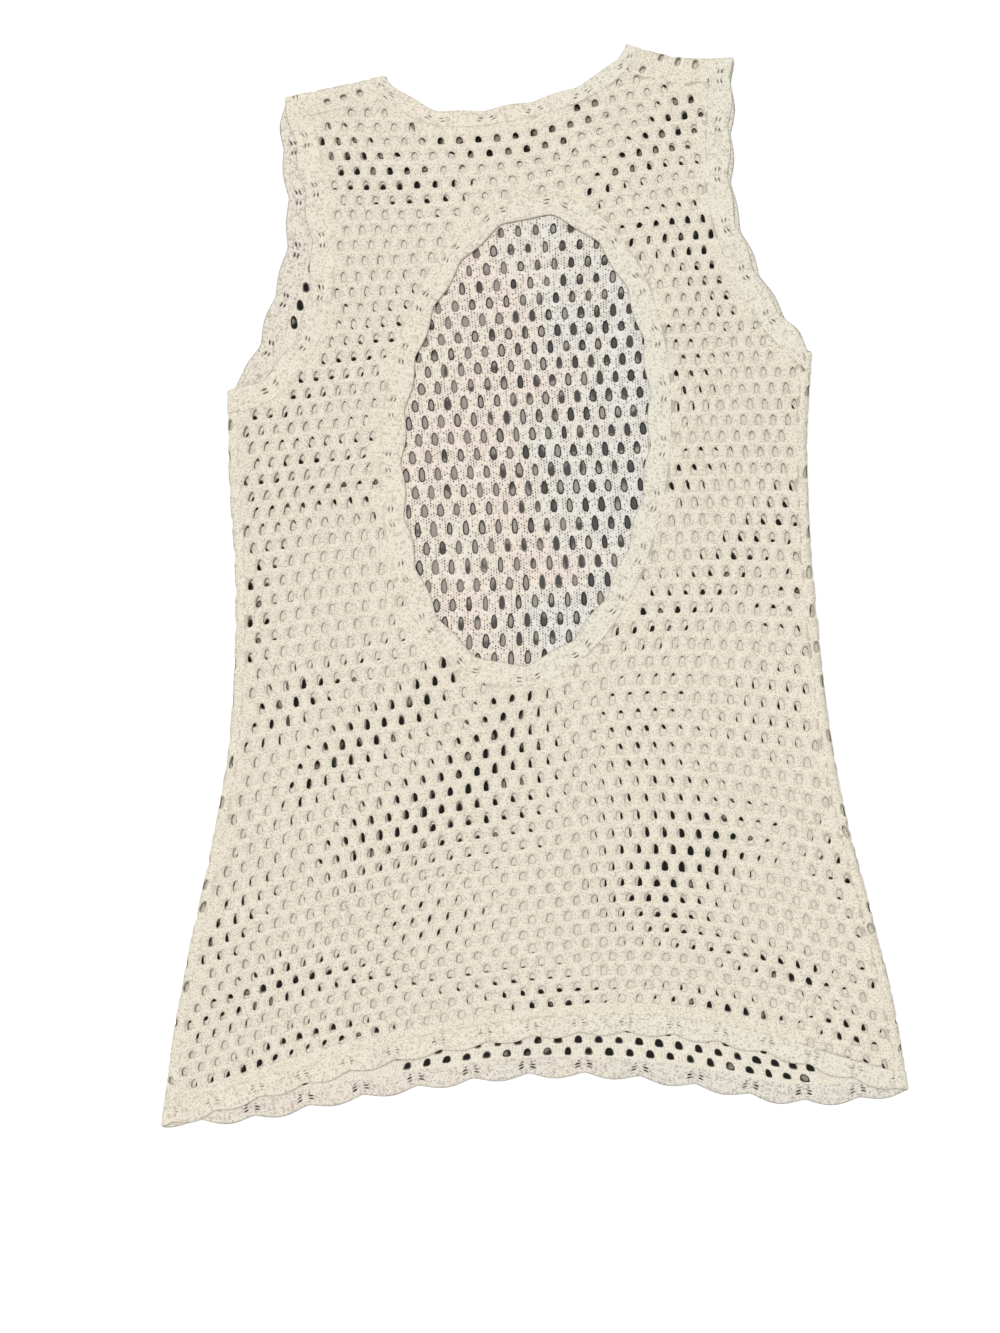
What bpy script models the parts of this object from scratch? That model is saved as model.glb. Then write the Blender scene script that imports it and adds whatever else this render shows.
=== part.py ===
"""A sleeveless openwork knitted top, laid flat on its front with its open back upwards.

Metres, +Z up. The garment rests on z = 0, +Y runs from the hem to the shoulders and the origin is
under the middle of its outline. Left and right are those of someone who looks down on it.

The garment is two panels of one cloth wall. The front lies on the surface; at the sides and the
shoulders it turns up round a soft fold and laps a little way over the top, where a seam joins it
to the back. Strips with a scalloped free edge finish the neck, the armholes, the hems and the
oval that is cut out of the back. Every piece is a sheet: points on the middle of the wall, each
with the direction of the wall's thickness, thickened to both sides.
"""

import math
from collections import namedtuple

import bmesh
import bpy
from mathutils import Vector

# ---------------------------------------------------------------- driving sizes
MM = 0.001
WALL = 1.8 * MM                 # knitted cloth
FREE_EDGE_WALL = 1.3 * MM       # an edging thins towards its scallops
SEAM_GAP = 0.3 * MM             # between two pieces that are sewn together
LAYER_GAP = 0.4 * MM            # between the back and the front that it lies on
FOLD_RADIUS = 2.3 * MM          # of the middle of the wall, at the sides and the shoulders
FOLD_REACH = 24.0 * MM          # how far in from a fold the back still stands up
SIDE_LAP = 4.0 * MM             # from the side fold to the side seam
SHOULDER_LAP = 13.0 * MM        # from the shoulder fold to the shoulder seam
END_EASE = 30.0 * MM            # where an edging turns to run square across a fold

FRONT_HEIGHT = WALL / 2
BACK_HEIGHT = FRONT_HEIGHT + WALL + LAYER_GAP
FOLD_RISE = 2 * FOLD_RADIUS - (BACK_HEIGHT - FRONT_HEIGHT)
FOLD_INSET = FOLD_RADIUS + WALL / 2
FOLD_TURNS = (0.25, 0.5, 0.75)  # sections of a fold, of its half turn
FOLD_STEP = math.pi * FOLD_RADIUS / (len(FOLD_TURNS) + 1)

# One row for each edging: its width, and the length and depth of its scallops.
Trim = namedtuple("Trim", "width scallop_length scallop_depth")
NECK_TRIM = Trim(10.5 * MM, 32.5 * MM, 1.6 * MM)
ARMHOLE_TRIM = Trim(15.5 * MM, 33 * MM, 2.6 * MM)
CUTOUT_TRIM = Trim(15.0 * MM, 36 * MM, 3.0 * MM)
BACK_HEM_TRIM = Trim(16.0 * MM, 31.5 * MM, 3.2 * MM)
FRONT_HEM_TRIM = Trim(16.0 * MM, 37 * MM, 4.0 * MM)
FIRST_DIP = {                   # from where a strip starts to a dip between two scallops
    "neck_edging": 7.5 * MM,
    "armhole_edging_left": -10.0 * MM,
    "armhole_edging_right": -0.5 * MM,
    "cutout_edging": 9.5 * MM,
    "hem_edging_back": 0.0,
    "hem_edging_front": -4.0 * MM,
}
SECTION_STEP = 6.5 * MM         # between two sections of an edging
SCALLOP_ROUNDNESS = 0.8         # power of the sine that shapes a lobe; less is fuller
SCALLOP_MEAN = 0.66             # mean height of a lobe, of its depth

# The oval cut-out, to the middle of its scalloped edge.
CUTOUT_CENTRE = Vector((-6.0 * MM, 98.5 * MM))
CUTOUT_HALF_WIDTH = 83.0 * MM
CUTOUT_HALF_LENGTH = 152.5 * MM
CUTOUT_LEAN = 0.061             # sideways for each metre up

# ---------------------------------------------------------------- grid of the panels
HALF_COLUMNS = 8                # on each side of the middle
LOWER_ROWS = 10                 # from the back's hem to the foot of the cut-out
CUTOUT_ROWS = 36
CUTOUT_ROWS_BELOW_ARM = 18
BRIDGE_ROWS = 3                 # between the cut-out and the neck
NECK_ROWS = 8
ARMHOLE_ROWS = CUTOUT_ROWS - CUTOUT_ROWS_BELOW_ARM + BRIDGE_ROWS + NECK_ROWS
CUTOUT_FOOT_SHARE = 0.58        # where the foot of the cut-out lies along the sides
FRONT_BODY_ROWS = 15            # from the front's hem to the underarm
FRONT_CHEST_ROWS = 9            # from the underarm to the foot of the neck
FRONT_NECK_ROWS = 11
FOLD_SAMPLES = 24               # along the line that a side or a shoulder turns round
SHARP_ANGLE = math.radians(40)  # edges of the cloth's wall

# ---------------------------------------------------------------- outlines, in millimetres
SideRow = namedtuple("SideRow", "left_across left_up right_across right_up")
SIDES = (                       # outermost line of the two side folds, from the hem up
    SideRow(-254.5, -367.0, 254.5, -344.0),
    SideRow(-246.0, -302.5, 243.5, -280.0),
    SideRow(-234.5, -241.5, 228.0, -217.5),
    SideRow(-221.0, -179.0, 211.5, -154.0),
    SideRow(-210.0, -117.5, 200.0, -91.5),
    SideRow(-205.0, -54.5, 193.0, -28.0),
    SideRow(-204.5, 8.0, 187.5, 34.5),
    SideRow(-208.5, 69.5, 185.5, 97.5),
    SideRow(-209.5, 132.5, 188.5, 160.0),
)

ShoulderRow = namedtuple("ShoulderRow", "tip_across tip_up neck_across neck_up sag")
LEFT_SHOULDER = ShoulderRow(-171.0, 332.0, -102.0, 347.0, 0.0)
RIGHT_SHOULDER = ShoulderRow(134.5, 359.5, 62.0, 368.5, 4.0)

EdgeRow = namedtuple("EdgeRow", "across up")
LEFT_ARMHOLE_BACK = (           # free edges, from the underarm to the shoulder
    EdgeRow(-196.5, 135.0),
    EdgeRow(-185.5, 140.5),
    EdgeRow(-174.0, 152.0),
    EdgeRow(-165.0, 165.0),
    EdgeRow(-156.5, 186.0),
    EdgeRow(-152.5, 214.5),
    EdgeRow(-153.5, 240.0),
    EdgeRow(-158.0, 271.0),
    EdgeRow(-163.5, 300.0),
)
LEFT_ARMHOLE_FRONT = (
    EdgeRow(-202.0, 139.5),
    EdgeRow(-195.0, 150.5),
    EdgeRow(-188.0, 165.0),
    EdgeRow(-180.0, 191.0),
    EdgeRow(-172.0, 218.0),
    EdgeRow(-168.5, 245.0),
    EdgeRow(-170.0, 275.0),
    EdgeRow(-173.0, 305.0),
)
RIGHT_ARMHOLE_BACK = (
    EdgeRow(177.0, 173.0),
    EdgeRow(165.5, 187.5),
    EdgeRow(151.0, 212.5),
    EdgeRow(139.5, 239.5),
    EdgeRow(133.5, 263.0),
    EdgeRow(132.0, 290.0),
    EdgeRow(133.0, 325.0),
)
RIGHT_ARMHOLE_FRONT = (
    EdgeRow(179.0, 173.0),
    EdgeRow(167.5, 188.0),
    EdgeRow(153.5, 213.0),
    EdgeRow(142.0, 240.0),
    EdgeRow(136.0, 263.0),
    EdgeRow(134.5, 290.0),
    EdgeRow(135.0, 325.0),
)
BACK_NECK = (                   # free edges, from the left shoulder to the right one
    EdgeRow(-89.0, 334.5),
    EdgeRow(-69.0, 324.0),
    EdgeRow(-45.0, 322.5),
    EdgeRow(-17.0, 326.5),
    EdgeRow(12.0, 333.5),
    EdgeRow(37.0, 344.0),
    EdgeRow(54.0, 357.0),
)
FRONT_NECK = (
    EdgeRow(-96.0, 328.0),
    EdgeRow(-82.0, 309.0),
    EdgeRow(-58.0, 294.0),
    EdgeRow(-28.0, 288.0),
    EdgeRow(2.0, 292.0),
    EdgeRow(30.0, 307.5),
    EdgeRow(52.0, 334.0),
)
BACK_HEM = (                    # middle of the scallops, from the left side to the right one
    EdgeRow(-224.0, -361.0),
    EdgeRow(-194.0, -351.5),
    EdgeRow(-126.0, -332.0),
    EdgeRow(-58.0, -316.5),
    EdgeRow(10.0, -307.0),
    EdgeRow(78.0, -305.5),
    EdgeRow(146.0, -316.0),
    EdgeRow(214.0, -336.0),
)
FRONT_HEM = (
    EdgeRow(-228.0, -365.5),
    EdgeRow(-190.0, -363.0),
    EdgeRow(-129.0, -351.0),
    EdgeRow(-68.0, -341.0),
    EdgeRow(-7.0, -334.5),
    EdgeRow(54.0, -334.5),
    EdgeRow(115.0, -342.5),
    EdgeRow(170.0, -351.5),
    EdgeRow(217.0, -351.0),
)

# The largest soft folds of the back, each a low ridge: its middle, its direction, its length and
# width, and its height.
Ridge = namedtuple("Ridge", "across up angle length width height")
RIDGES = (
    Ridge(112.0, 205.0, 62.0, 120.0, 20.0, 2.2),
    Ridge(150.0, 60.0, 84.0, 190.0, 22.0, 1.6),
    Ridge(-172.0, 60.0, 80.0, 170.0, 20.0, 1.8),
    Ridge(-212.0, -262.0, 70.0, 150.0, 16.0, 2.0),
    Ridge(222.0, -262.0, 106.0, 170.0, 14.0, 1.8),
    Ridge(-70.0, -160.0, 24.0, 190.0, 30.0, 1.5),
    Ridge(70.0, -215.0, 158.0, 200.0, 32.0, 1.7),
    Ridge(-95.0, -262.0, 16.0, 170.0, 26.0, 1.4),
    Ridge(-30.0, 296.0, 4.0, 110.0, 18.0, 1.0),
)

CLOTH_COLOURS = {
    "back_panel": (0.84, 0.79, 0.67),
    "front_panel": (0.79, 0.74, 0.64),
    "neck_edging": (0.85, 0.80, 0.69),
    "armhole_edging_left": (0.83, 0.78, 0.67),
    "armhole_edging_right": (0.83, 0.78, 0.67),
    "cutout_edging": (0.86, 0.81, 0.70),
    "hem_edging_back": (0.85, 0.80, 0.69),
    "hem_edging_front": (0.80, 0.74, 0.63),
}


# ---------------------------------------------------------------- lines in the plan
def ease(share):
    """0 to 1 with level ends."""
    share = min(max(share, 0.0), 1.0)
    return share * share * (3 - 2 * share)


def turned_left(direction):
    return Vector((-direction.y, direction.x))


class Line:
    """A smooth line through plan points, read by its share of the length, from 0 to 1."""

    STEPS = 12                  # between two of its points
    READING = 0.004             # share to each side over which its direction is taken

    def __init__(self, points):
        padded = [2 * points[0] - points[1], *points, 2 * points[-1] - points[-2]]
        self.samples = [points[0]]
        for before, start, end, after in zip(padded, padded[1:], padded[2:], padded[3:]):
            for step in range(1, self.STEPS + 1):
                self.samples.append(self.between(before, start, end, after, step / self.STEPS))
        self.lengths = [0.0]
        for first, second in zip(self.samples, self.samples[1:]):
            self.lengths.append(self.lengths[-1] + (second - first).length)
        self.length = self.lengths[-1]

    @staticmethod
    def between(before, start, end, after, share):
        """A Catmull-Rom curve from start to end."""
        square, cube = share ** 2, share ** 3
        return 0.5 * (2 * start + (end - before) * share
                      + (2 * before - 5 * start + 4 * end - after) * square
                      + (3 * start - before - 3 * end + after) * cube)

    def at(self, share):
        wanted = min(max(share, 0.0), 1.0) * self.length
        for index in range(1, len(self.lengths)):
            if self.lengths[index] >= wanted:
                break
        start, end = self.lengths[index - 1], self.lengths[index]
        return self.samples[index - 1].lerp(self.samples[index], (wanted - start) / (end - start))

    def direction(self, share):
        return (self.at(share + self.READING) - self.at(share - self.READING)).normalized()


class Edging:
    """The free edge of a strip and, a width away on the garment's side, the line it is sewn to.

    At both ends the strip crosses a fold of the cloth, so there its sections lie along the fold.
    """

    def __init__(self, free_line, trim, garment_on_left, start_along, end_along):
        self.free_line = free_line
        self.trim = trim
        self.side = 1 if garment_on_left else -1
        self.start_along = start_along
        self.end_along = end_along

    def share_of(self, distance):
        return distance / self.free_line.length

    def free(self, share):
        return self.free_line.at(share)

    def sewn(self, share):
        across = self.side * turned_left(self.free_line.direction(share))
        distance = share * self.free_line.length
        start = ease(1 - distance / END_EASE)
        end = ease(1 - (self.free_line.length - distance) / END_EASE)
        across = across * (1 - start - end) + self.start_along * start + self.end_along * end
        return self.free(share) + across.normalized() * self.trim.width


def plan(row):
    return Vector((row.across * MM, row.up * MM))


def shares(start, end, count):
    """Even steps from start to end."""
    return [start + (end - start) * step / count for step in range(count + 1)]


def lowest_share(edging):
    return min(shares(0, 1, 200), key=lambda share: edging.sewn(share).y)


def side_fold(outer_points, inward):
    """The line round which a side turns: the outline, moved in by half the fold."""
    outline = Line(outer_points)
    points = []
    for share in shares(0, 1, FOLD_SAMPLES):
        square = inward * turned_left(outline.direction(share))
        points.append(outline.at(share) + square * FOLD_INSET)
    return Line(points)


def shoulder_fold(row):
    """The same for a shoulder, from its tip to the neck; sag is its dip in the middle."""
    tip = Vector((row.tip_across, row.tip_up)) * MM
    neck = Vector((row.neck_across, row.neck_up)) * MM
    along = (neck - tip).normalized()
    down = turned_left(along)
    if down.y > 0:
        down = -down
    tip, neck = tip + down * FOLD_INSET, neck + down * FOLD_INSET
    return Line([tip.lerp(neck, share) + down * row.sag * MM * 4 * share * (1 - share)
                 for share in shares(0, 1, FOLD_SAMPLES)])


SIDE_FOLDS = {
    "left": side_fold([Vector((row.left_across, row.left_up)) * MM for row in SIDES], -1),
    "right": side_fold([Vector((row.right_across, row.right_up)) * MM for row in SIDES], 1),
}
SHOULDER_FOLDS = {
    "left": shoulder_fold(LEFT_SHOULDER),
    "right": shoulder_fold(RIGHT_SHOULDER),
}
OUTWARD = {"left": -1, "right": 1}


def edging_line(start, rows, end):
    return Line([start, *[plan(row) for row in rows], end])


def armhole(side, rows):
    """From the underarm, the top of the side fold, to the tip of the shoulder fold."""
    underarm = SIDE_FOLDS[side].at(1)
    tip = SHOULDER_FOLDS[side].at(0)
    line = edging_line(underarm, rows, tip)
    return Edging(line, ARMHOLE_TRIM, side == "right",
                  -SIDE_FOLDS[side].direction(1), SHOULDER_FOLDS[side].direction(0))


def neckline(rows):
    line = edging_line(SHOULDER_FOLDS["left"].at(1), rows, SHOULDER_FOLDS["right"].at(1))
    return Edging(line, NECK_TRIM, False,
                  -SHOULDER_FOLDS["left"].direction(1), -SHOULDER_FOLDS["right"].direction(1))


def hem(rows, trim):
    line = edging_line(SIDE_FOLDS["left"].at(0), rows, SIDE_FOLDS["right"].at(0))
    return Edging(line, trim, True,
                  SIDE_FOLDS["left"].direction(0), SIDE_FOLDS["right"].direction(0))


ARMHOLES_BACK = {
    "left": armhole("left", LEFT_ARMHOLE_BACK),
    "right": armhole("right", RIGHT_ARMHOLE_BACK),
}
ARMHOLES_FRONT = {
    "left": armhole("left", LEFT_ARMHOLE_FRONT),
    "right": armhole("right", RIGHT_ARMHOLE_FRONT),
}
NECK_BACK = neckline(BACK_NECK)
NECK_FRONT = neckline(FRONT_NECK)
NECK_BACK_FOOT = lowest_share(NECK_BACK)
NECK_FRONT_FOOT = lowest_share(NECK_FRONT)
HEM_BACK = hem(BACK_HEM, BACK_HEM_TRIM)
HEM_FRONT = hem(FRONT_HEM, FRONT_HEM_TRIM)


def cutout_free(angle):
    """Edge of the cut-out; the angle runs from its foot, up its right side to its head."""
    rise = -CUTOUT_HALF_LENGTH * math.cos(angle)
    across = CUTOUT_HALF_WIDTH * math.sin(angle) + CUTOUT_LEAN * rise
    return CUTOUT_CENTRE + Vector((across, rise))


def cutout_outward(angle):
    step = 0.01
    return -turned_left(cutout_free(angle + step) - cutout_free(angle - step)).normalized()


def cutout_sewn(angle):
    return cutout_free(angle) + cutout_outward(angle) * CUTOUT_TRIM.width


# ---------------------------------------------------------------- from the plan to the cloth
def distance_to_folds(point):
    nearest = FOLD_REACH
    for line in (*SIDE_FOLDS.values(), *SHOULDER_FOLDS.values()):
        for start, end in zip(line.samples[::4], line.samples[4::4]):
            along = end - start
            share = min(max((point - start).dot(along) / along.length_squared, 0.0), 1.0)
            nearest = min(nearest, (start + along * share - point).length)
    return nearest


def ridge_height(point):
    total = 0.0
    for ridge in RIDGES:
        away = point - Vector((ridge.across, ridge.up)) * MM
        angle = math.radians(ridge.angle)
        along = (away.x * math.cos(angle) + away.y * math.sin(angle)) / (ridge.length / 2 * MM)
        across = (away.y * math.cos(angle) - away.x * math.sin(angle)) / (ridge.width * MM)
        total += ridge.height * MM * math.exp(-along ** 2 - across ** 2)
    return total


def back_height(point):
    """Height of the middle of the back's wall: up on the folds, with soft ridges between."""
    from_fold = 1 - distance_to_folds(point) / FOLD_REACH
    return BACK_HEIGHT + FOLD_RISE * ease(from_fold) + ridge_height(point) * (1 - ease(from_fold))


ClothPoint = namedtuple("ClothPoint", "place normal wall")
UP = Vector((0, 0, 1))


def on_front(point, wall=WALL):
    return ClothPoint(point.to_3d() + UP * FRONT_HEIGHT, -UP, wall)


def on_back(point, wall=WALL):
    return ClothPoint(point.to_3d() + UP * back_height(point), UP, wall)


def on_fold(point, outward, turn, wall=WALL):
    """Round a fold: turn 0 is on the front, turn 1 on the back."""
    angle = math.pi * turn
    normal = outward.to_3d() * math.sin(angle) - UP * math.cos(angle)
    place = point.to_3d() + UP * (FRONT_HEIGHT + FOLD_RADIUS) + normal * FOLD_RADIUS
    return ClothPoint(place, normal, wall)


class Sheet:
    """Patches of cloth points joined where they meet, made into one closed wall."""

    SAME_POINT = 0.02 * MM

    def __init__(self, name):
        self.name = name
        self.points = []
        self.faces = []

    def corner(self, point):
        """The number of a cloth point, which neighbouring patches share."""
        for number, known in enumerate(self.points):
            if (known.place - point.place).length < self.SAME_POINT:
                return number
        self.points.append(point)
        return len(self.points) - 1

    def patch(self, rows):
        numbers = [[self.corner(point) for point in row] for row in rows]
        for lower, upper in zip(numbers, numbers[1:]):
            for index in range(len(lower) - 1):
                corners = lower[index], lower[index + 1], upper[index + 1], upper[index]
                face = list(dict.fromkeys(corners))
                if len(face) > 2:
                    self.faces.append(face)

    def rim(self):
        """The edges that have one face, and the face of each."""
        sides = {}
        for face in self.faces:
            for start, end in zip(face, face[1:] + face[:1]):
                sides.setdefault(frozenset((start, end)), []).append((start, end, face))
        return [entry[0] for entry in sides.values() if len(entry) == 1]

    def pulled_in(self):
        """The points, with the rim moved in by half a seam gap, so that no two pieces touch."""
        points = self.points
        squares = {}
        for start, end, face in self.rim():
            along = (points[end].place - points[start].place).normalized()
            centre = sum((points[index].place for index in face), Vector()) / len(face)
            inward = centre - points[start].place
            inward = (inward - along * inward.dot(along))
            normal = points[start].normal + points[end].normal
            inward = inward - normal * inward.dot(normal) / normal.length_squared
            for index in (start, end):
                squares.setdefault(index, []).append(inward.normalized())
        moved = list(points)
        for index, inwards in squares.items():
            total = sum(inwards, Vector())
            shift = total / max(total.dot(inwards[0]), 0.3) * SEAM_GAP / 2
            moved[index] = points[index]._replace(place=points[index].place + shift)
        return moved

    def build(self):
        points = self.pulled_in()
        mesh = bmesh.new()
        outer = [mesh.verts.new(point.place + point.normal * point.wall / 2) for point in points]
        inner = [mesh.verts.new(point.place - point.normal * point.wall / 2) for point in points]
        for face in self.faces:
            mesh.faces.new([outer[index] for index in face])
            mesh.faces.new([inner[index] for index in reversed(face)])
        for start, end, _ in self.rim():
            mesh.faces.new((outer[end], outer[start], inner[start], inner[end]))
        bmesh.ops.recalc_face_normals(mesh, faces=mesh.faces)
        data = bpy.data.meshes.new(self.name)
        mesh.to_mesh(data)
        mesh.free()
        piece = bpy.data.objects.new(self.name, data)
        bpy.context.collection.objects.link(piece)
        data.materials.append(cloth_material(self.name))
        data.shade_smooth()
        data.set_sharp_from_angle(angle=SHARP_ANGLE)
        return piece


def cloth_material(name):
    material = bpy.data.materials.new(name)
    material.use_nodes = True
    shader = material.node_tree.nodes["Principled BSDF"]
    shader.inputs["Base Color"].default_value = (*CLOTH_COLOURS[name], 1)
    shader.inputs["Roughness"].default_value = 0.95
    shader.inputs["Metallic"].default_value = 0.0
    return material


# ---------------------------------------------------------------- panels
def spaced(start, end):
    return [start.lerp(end, column / HALF_COLUMNS) for column in range(HALF_COLUMNS + 1)]


def half_row(outer, inner):
    """Half of a row, which comes to the middle, or to the edge of an opening, level."""
    points = spaced(outer, inner)
    for column, point in enumerate(points):
        left = 1 - column / HALF_COLUMNS
        point.y = inner.y + (outer.y - inner.y) * left ** 2
    return points


def bend_rows(rows, first_row, count):
    """Bends the first rows towards the curved row that they start from."""
    bend = [edge - straight for edge, straight in zip(first_row, rows[0])]
    for row in range(count):
        rows[row] = [point + away * (1 - row / count) for point, away in zip(rows[row], bend)]


def side_line(side):
    """Where the side fold runs between the sewn lines of the hem and of the armhole."""
    fold = SIDE_FOLDS[side]
    return FRONT_HEM_TRIM.width / fold.length, 1 - ARMHOLE_TRIM.width / fold.length


def fold_point(side, share):
    """On the side fold; share 0 is at the hem's edging and 1 at the armhole's."""
    if share <= 0:
        return HEM_BACK.sewn(0 if side == "left" else 1)
    if share >= 1:
        return ARMHOLES_BACK[side].sewn(0)
    low, high = side_line(side)
    return SIDE_FOLDS[side].at(low + (high - low) * share)


def side_outward(side, share):
    low, high = side_line(side)
    along = SIDE_FOLDS[side].direction(low + (high - low) * share)
    return -OUTWARD[side] * turned_left(along)


def side_seam_point(side, share):
    """On the side seam, which the edgings cross at both ends."""
    if share <= 0:
        away = HEM_BACK.share_of(SIDE_LAP)
        return HEM_BACK.sewn(away if side == "left" else 1 - away)
    if share >= 1:
        return ARMHOLES_BACK[side].sewn(ARMHOLES_BACK[side].share_of(SIDE_LAP))
    return fold_point(side, share) - side_outward(side, share) * SIDE_LAP


def shoulder_shares(side):
    """The shares of the armhole's and the neck's line at which the shoulder seam ends."""
    arm = ARMHOLES_BACK[side]
    neck_share = NECK_BACK.share_of(SHOULDER_LAP)
    return 1 - arm.share_of(SHOULDER_LAP), neck_share if side == "left" else 1 - neck_share


def shoulder_seam(side):
    """From the armhole to the neck, parallel to the shoulder."""
    arm_share, neck_share = shoulder_shares(side)
    start, end = ARMHOLES_BACK[side].sewn(arm_share), NECK_BACK.sewn(neck_share)
    sag = (RIGHT_SHOULDER if side == "right" else LEFT_SHOULDER).sag * MM
    return [point - Vector((0, sag * 4 * index / HALF_COLUMNS * (1 - index / HALF_COLUMNS)))
            for index, point in enumerate(spaced(start, end))]


def back_outer_points(side):
    """The outer end of each row of the back: up the side seam, then up the armhole."""
    up_the_side = [*shares(0, CUTOUT_FOOT_SHARE, LOWER_ROWS),
                   *shares(CUTOUT_FOOT_SHARE, 1, CUTOUT_ROWS_BELOW_ARM)[1:]]
    points = [side_seam_point(side, share) for share in up_the_side]
    arm = ARMHOLES_BACK[side]
    low, high = arm.share_of(SIDE_LAP), shoulder_shares(side)[0]
    return points + [arm.sewn(share) for share in shares(low, high, ARMHOLE_ROWS)[1:]]


def back_inner_points(side):
    """The inner end of each row: the middle, and round the cut-out and the neck their edge."""
    foot, head = cutout_sewn(0), cutout_sewn(math.pi)
    hem_middle, neck_foot = HEM_BACK.sewn(0.5), NECK_BACK.sewn(NECK_BACK_FOOT)
    points = [hem_middle.lerp(foot, row / LOWER_ROWS) for row in range(LOWER_ROWS)]
    points += [cutout_sewn(OUTWARD[side] * math.pi * row / CUTOUT_ROWS)
               for row in range(CUTOUT_ROWS)]
    points += [head.lerp(neck_foot, row / BRIDGE_ROWS) for row in range(BRIDGE_ROWS)]
    end = shoulder_shares(side)[1]
    return points + [NECK_BACK.sewn(share) for share in shares(NECK_BACK_FOOT, end, NECK_ROWS)]


def back_panel():
    sheet = Sheet("back_panel")
    for side in ("left", "right"):
        outer, inner = back_outer_points(side), back_inner_points(side)
        rows = [half_row(start, end) for start, end in zip(outer, inner)]
        seam = HEM_BACK.share_of(SIDE_LAP)
        start = seam if side == "left" else 1 - seam
        hem_row = [HEM_BACK.sewn(share) for share in shares(start, 0.5, HALF_COLUMNS)]
        bend_rows(rows, hem_row, LOWER_ROWS)
        rows.reverse()
        bend_rows(rows, shoulder_seam(side), NECK_ROWS)
        sheet.patch([[on_back(point) for point in row] for row in rows])
    return sheet.build()


def front_outer_points(side):
    points = [fold_point(side, share) for share in shares(0, 1, FRONT_BODY_ROWS)[:-1]]
    arm = ARMHOLES_FRONT[side]
    return points + [arm.sewn(share)
                     for share in shares(0, 1, FRONT_CHEST_ROWS + FRONT_NECK_ROWS)]


def front_inner_points(side):
    hem_middle, neck_foot = HEM_FRONT.sewn(0.5), NECK_FRONT.sewn(NECK_FRONT_FOOT)
    foot_row = FRONT_BODY_ROWS + FRONT_CHEST_ROWS
    heights = [(first.y + second.y) / 2 for first, second
               in zip(front_outer_points("left"), front_outer_points("right"))]
    points = [hem_middle.lerp(neck_foot, (heights[row] - heights[0])
                              / (heights[foot_row] - heights[0])) for row in range(foot_row)]
    end = 0 if side == "left" else 1
    return points + [NECK_FRONT.sewn(share)
                     for share in shares(NECK_FRONT_FOOT, end, FRONT_NECK_ROWS)]


def shoulder_row(side):
    """Along the shoulder fold, from the armhole's edging to the neck's."""
    fold = SHOULDER_FOLDS[side]
    start, end = ARMHOLES_BACK[side].sewn(1), NECK_BACK.sewn(0 if side == "left" else 1)
    low, high = ARMHOLE_TRIM.width / fold.length, 1 - NECK_TRIM.width / fold.length
    return [start, *[fold.at(share) for share in shares(low, high, HALF_COLUMNS)[1:-1]], end]


def shoulder_outward(side, share):
    along = SHOULDER_FOLDS[side].direction(share)
    return OUTWARD[side] * -turned_left(along)


def front_panel():
    sheet = Sheet("front_panel")
    for side in ("left", "right"):
        outer, inner = front_outer_points(side), front_inner_points(side)
        rows = [half_row(start, end) for start, end in zip(outer, inner)]
        start = 0 if side == "left" else 1
        hem_row = [HEM_FRONT.sewn(share) for share in shares(start, 0.5, HALF_COLUMNS)]
        bend_rows(rows, hem_row, FRONT_BODY_ROWS)
        rows.reverse()
        bend_rows(rows, shoulder_row(side), FRONT_NECK_ROWS)
        sheet.patch([[on_front(point) for point in row] for row in rows])
        sheet.patch(side_wrap(side))
        sheet.patch(shoulder_wrap(side))
    return sheet.build()


def side_wrap(side):
    """The front's strip round the side fold, up to the side seam."""
    rows = []
    for share in shares(0, 1, FRONT_BODY_ROWS):
        point, outward = fold_point(side, share), side_outward(side, share)
        rows.append([on_front(point)]
                    + [on_fold(point, outward, turn) for turn in FOLD_TURNS]
                    + [on_back(point), on_back(side_seam_point(side, share))])
    return rows


def shoulder_wrap(side):
    """The front's strip over the shoulder fold, down to the shoulder seam."""
    columns = []
    for column, (point, seam) in enumerate(zip(shoulder_row(side), shoulder_seam(side))):
        outward = shoulder_outward(side, column / HALF_COLUMNS)
        columns.append([on_front(point)]
                       + [on_fold(point, outward, turn) for turn in FOLD_TURNS]
                       + [on_back(point), on_back(point.lerp(seam, 0.5)), on_back(seam)])
    return columns


# ---------------------------------------------------------------- edgings
Rib = namedtuple("Rib", "sewn free layer outward turn")


def layer_rib(sewn, free, layer):
    return Rib(sewn, free, layer, None, None)


def fold_ribs(sewn, free, outward):
    """Sections of a strip round a fold, from the front to the back."""
    return [Rib(sewn, free, None, outward, turn) for turn in FOLD_TURNS]


def finer(stations, free_at, layer):
    """Ribs at the sewn stations and between them; stations are pairs of a key and a point."""
    ribs = []
    for (key, sewn), (next_key, next_sewn) in zip(stations, stations[1:]):
        steps = max(1, round((free_at(next_key) - free_at(key)).length / SECTION_STEP))
        for step in range(steps):
            share = step / steps
            ribs.append(layer_rib(sewn.lerp(next_sewn, share),
                                  free_at(key + (next_key - key) * share), layer))
    key, sewn = stations[-1]
    return ribs + [layer_rib(sewn, free_at(key), layer)]


def along_edging(edging, stations, layer):
    return finer([(share, edging.sewn(share)) for share in stations], edging.free, layer)


def cloth_section(rib, reach):
    """Sewn edge, middle and free edge of a strip's section; reach moves the free edge out."""
    across = rib.free - rib.sewn
    free = rib.free + across.normalized() * reach
    middle = rib.sewn.lerp(free, 0.5)
    if rib.layer is None:
        place = [on_fold(point, rib.outward, rib.turn) for point in (rib.sewn, middle, free)]
    else:
        place = [rib.layer(point) for point in (rib.sewn, middle, free)]
    return [place[0], place[1], place[2]._replace(wall=FREE_EDGE_WALL)]


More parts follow.
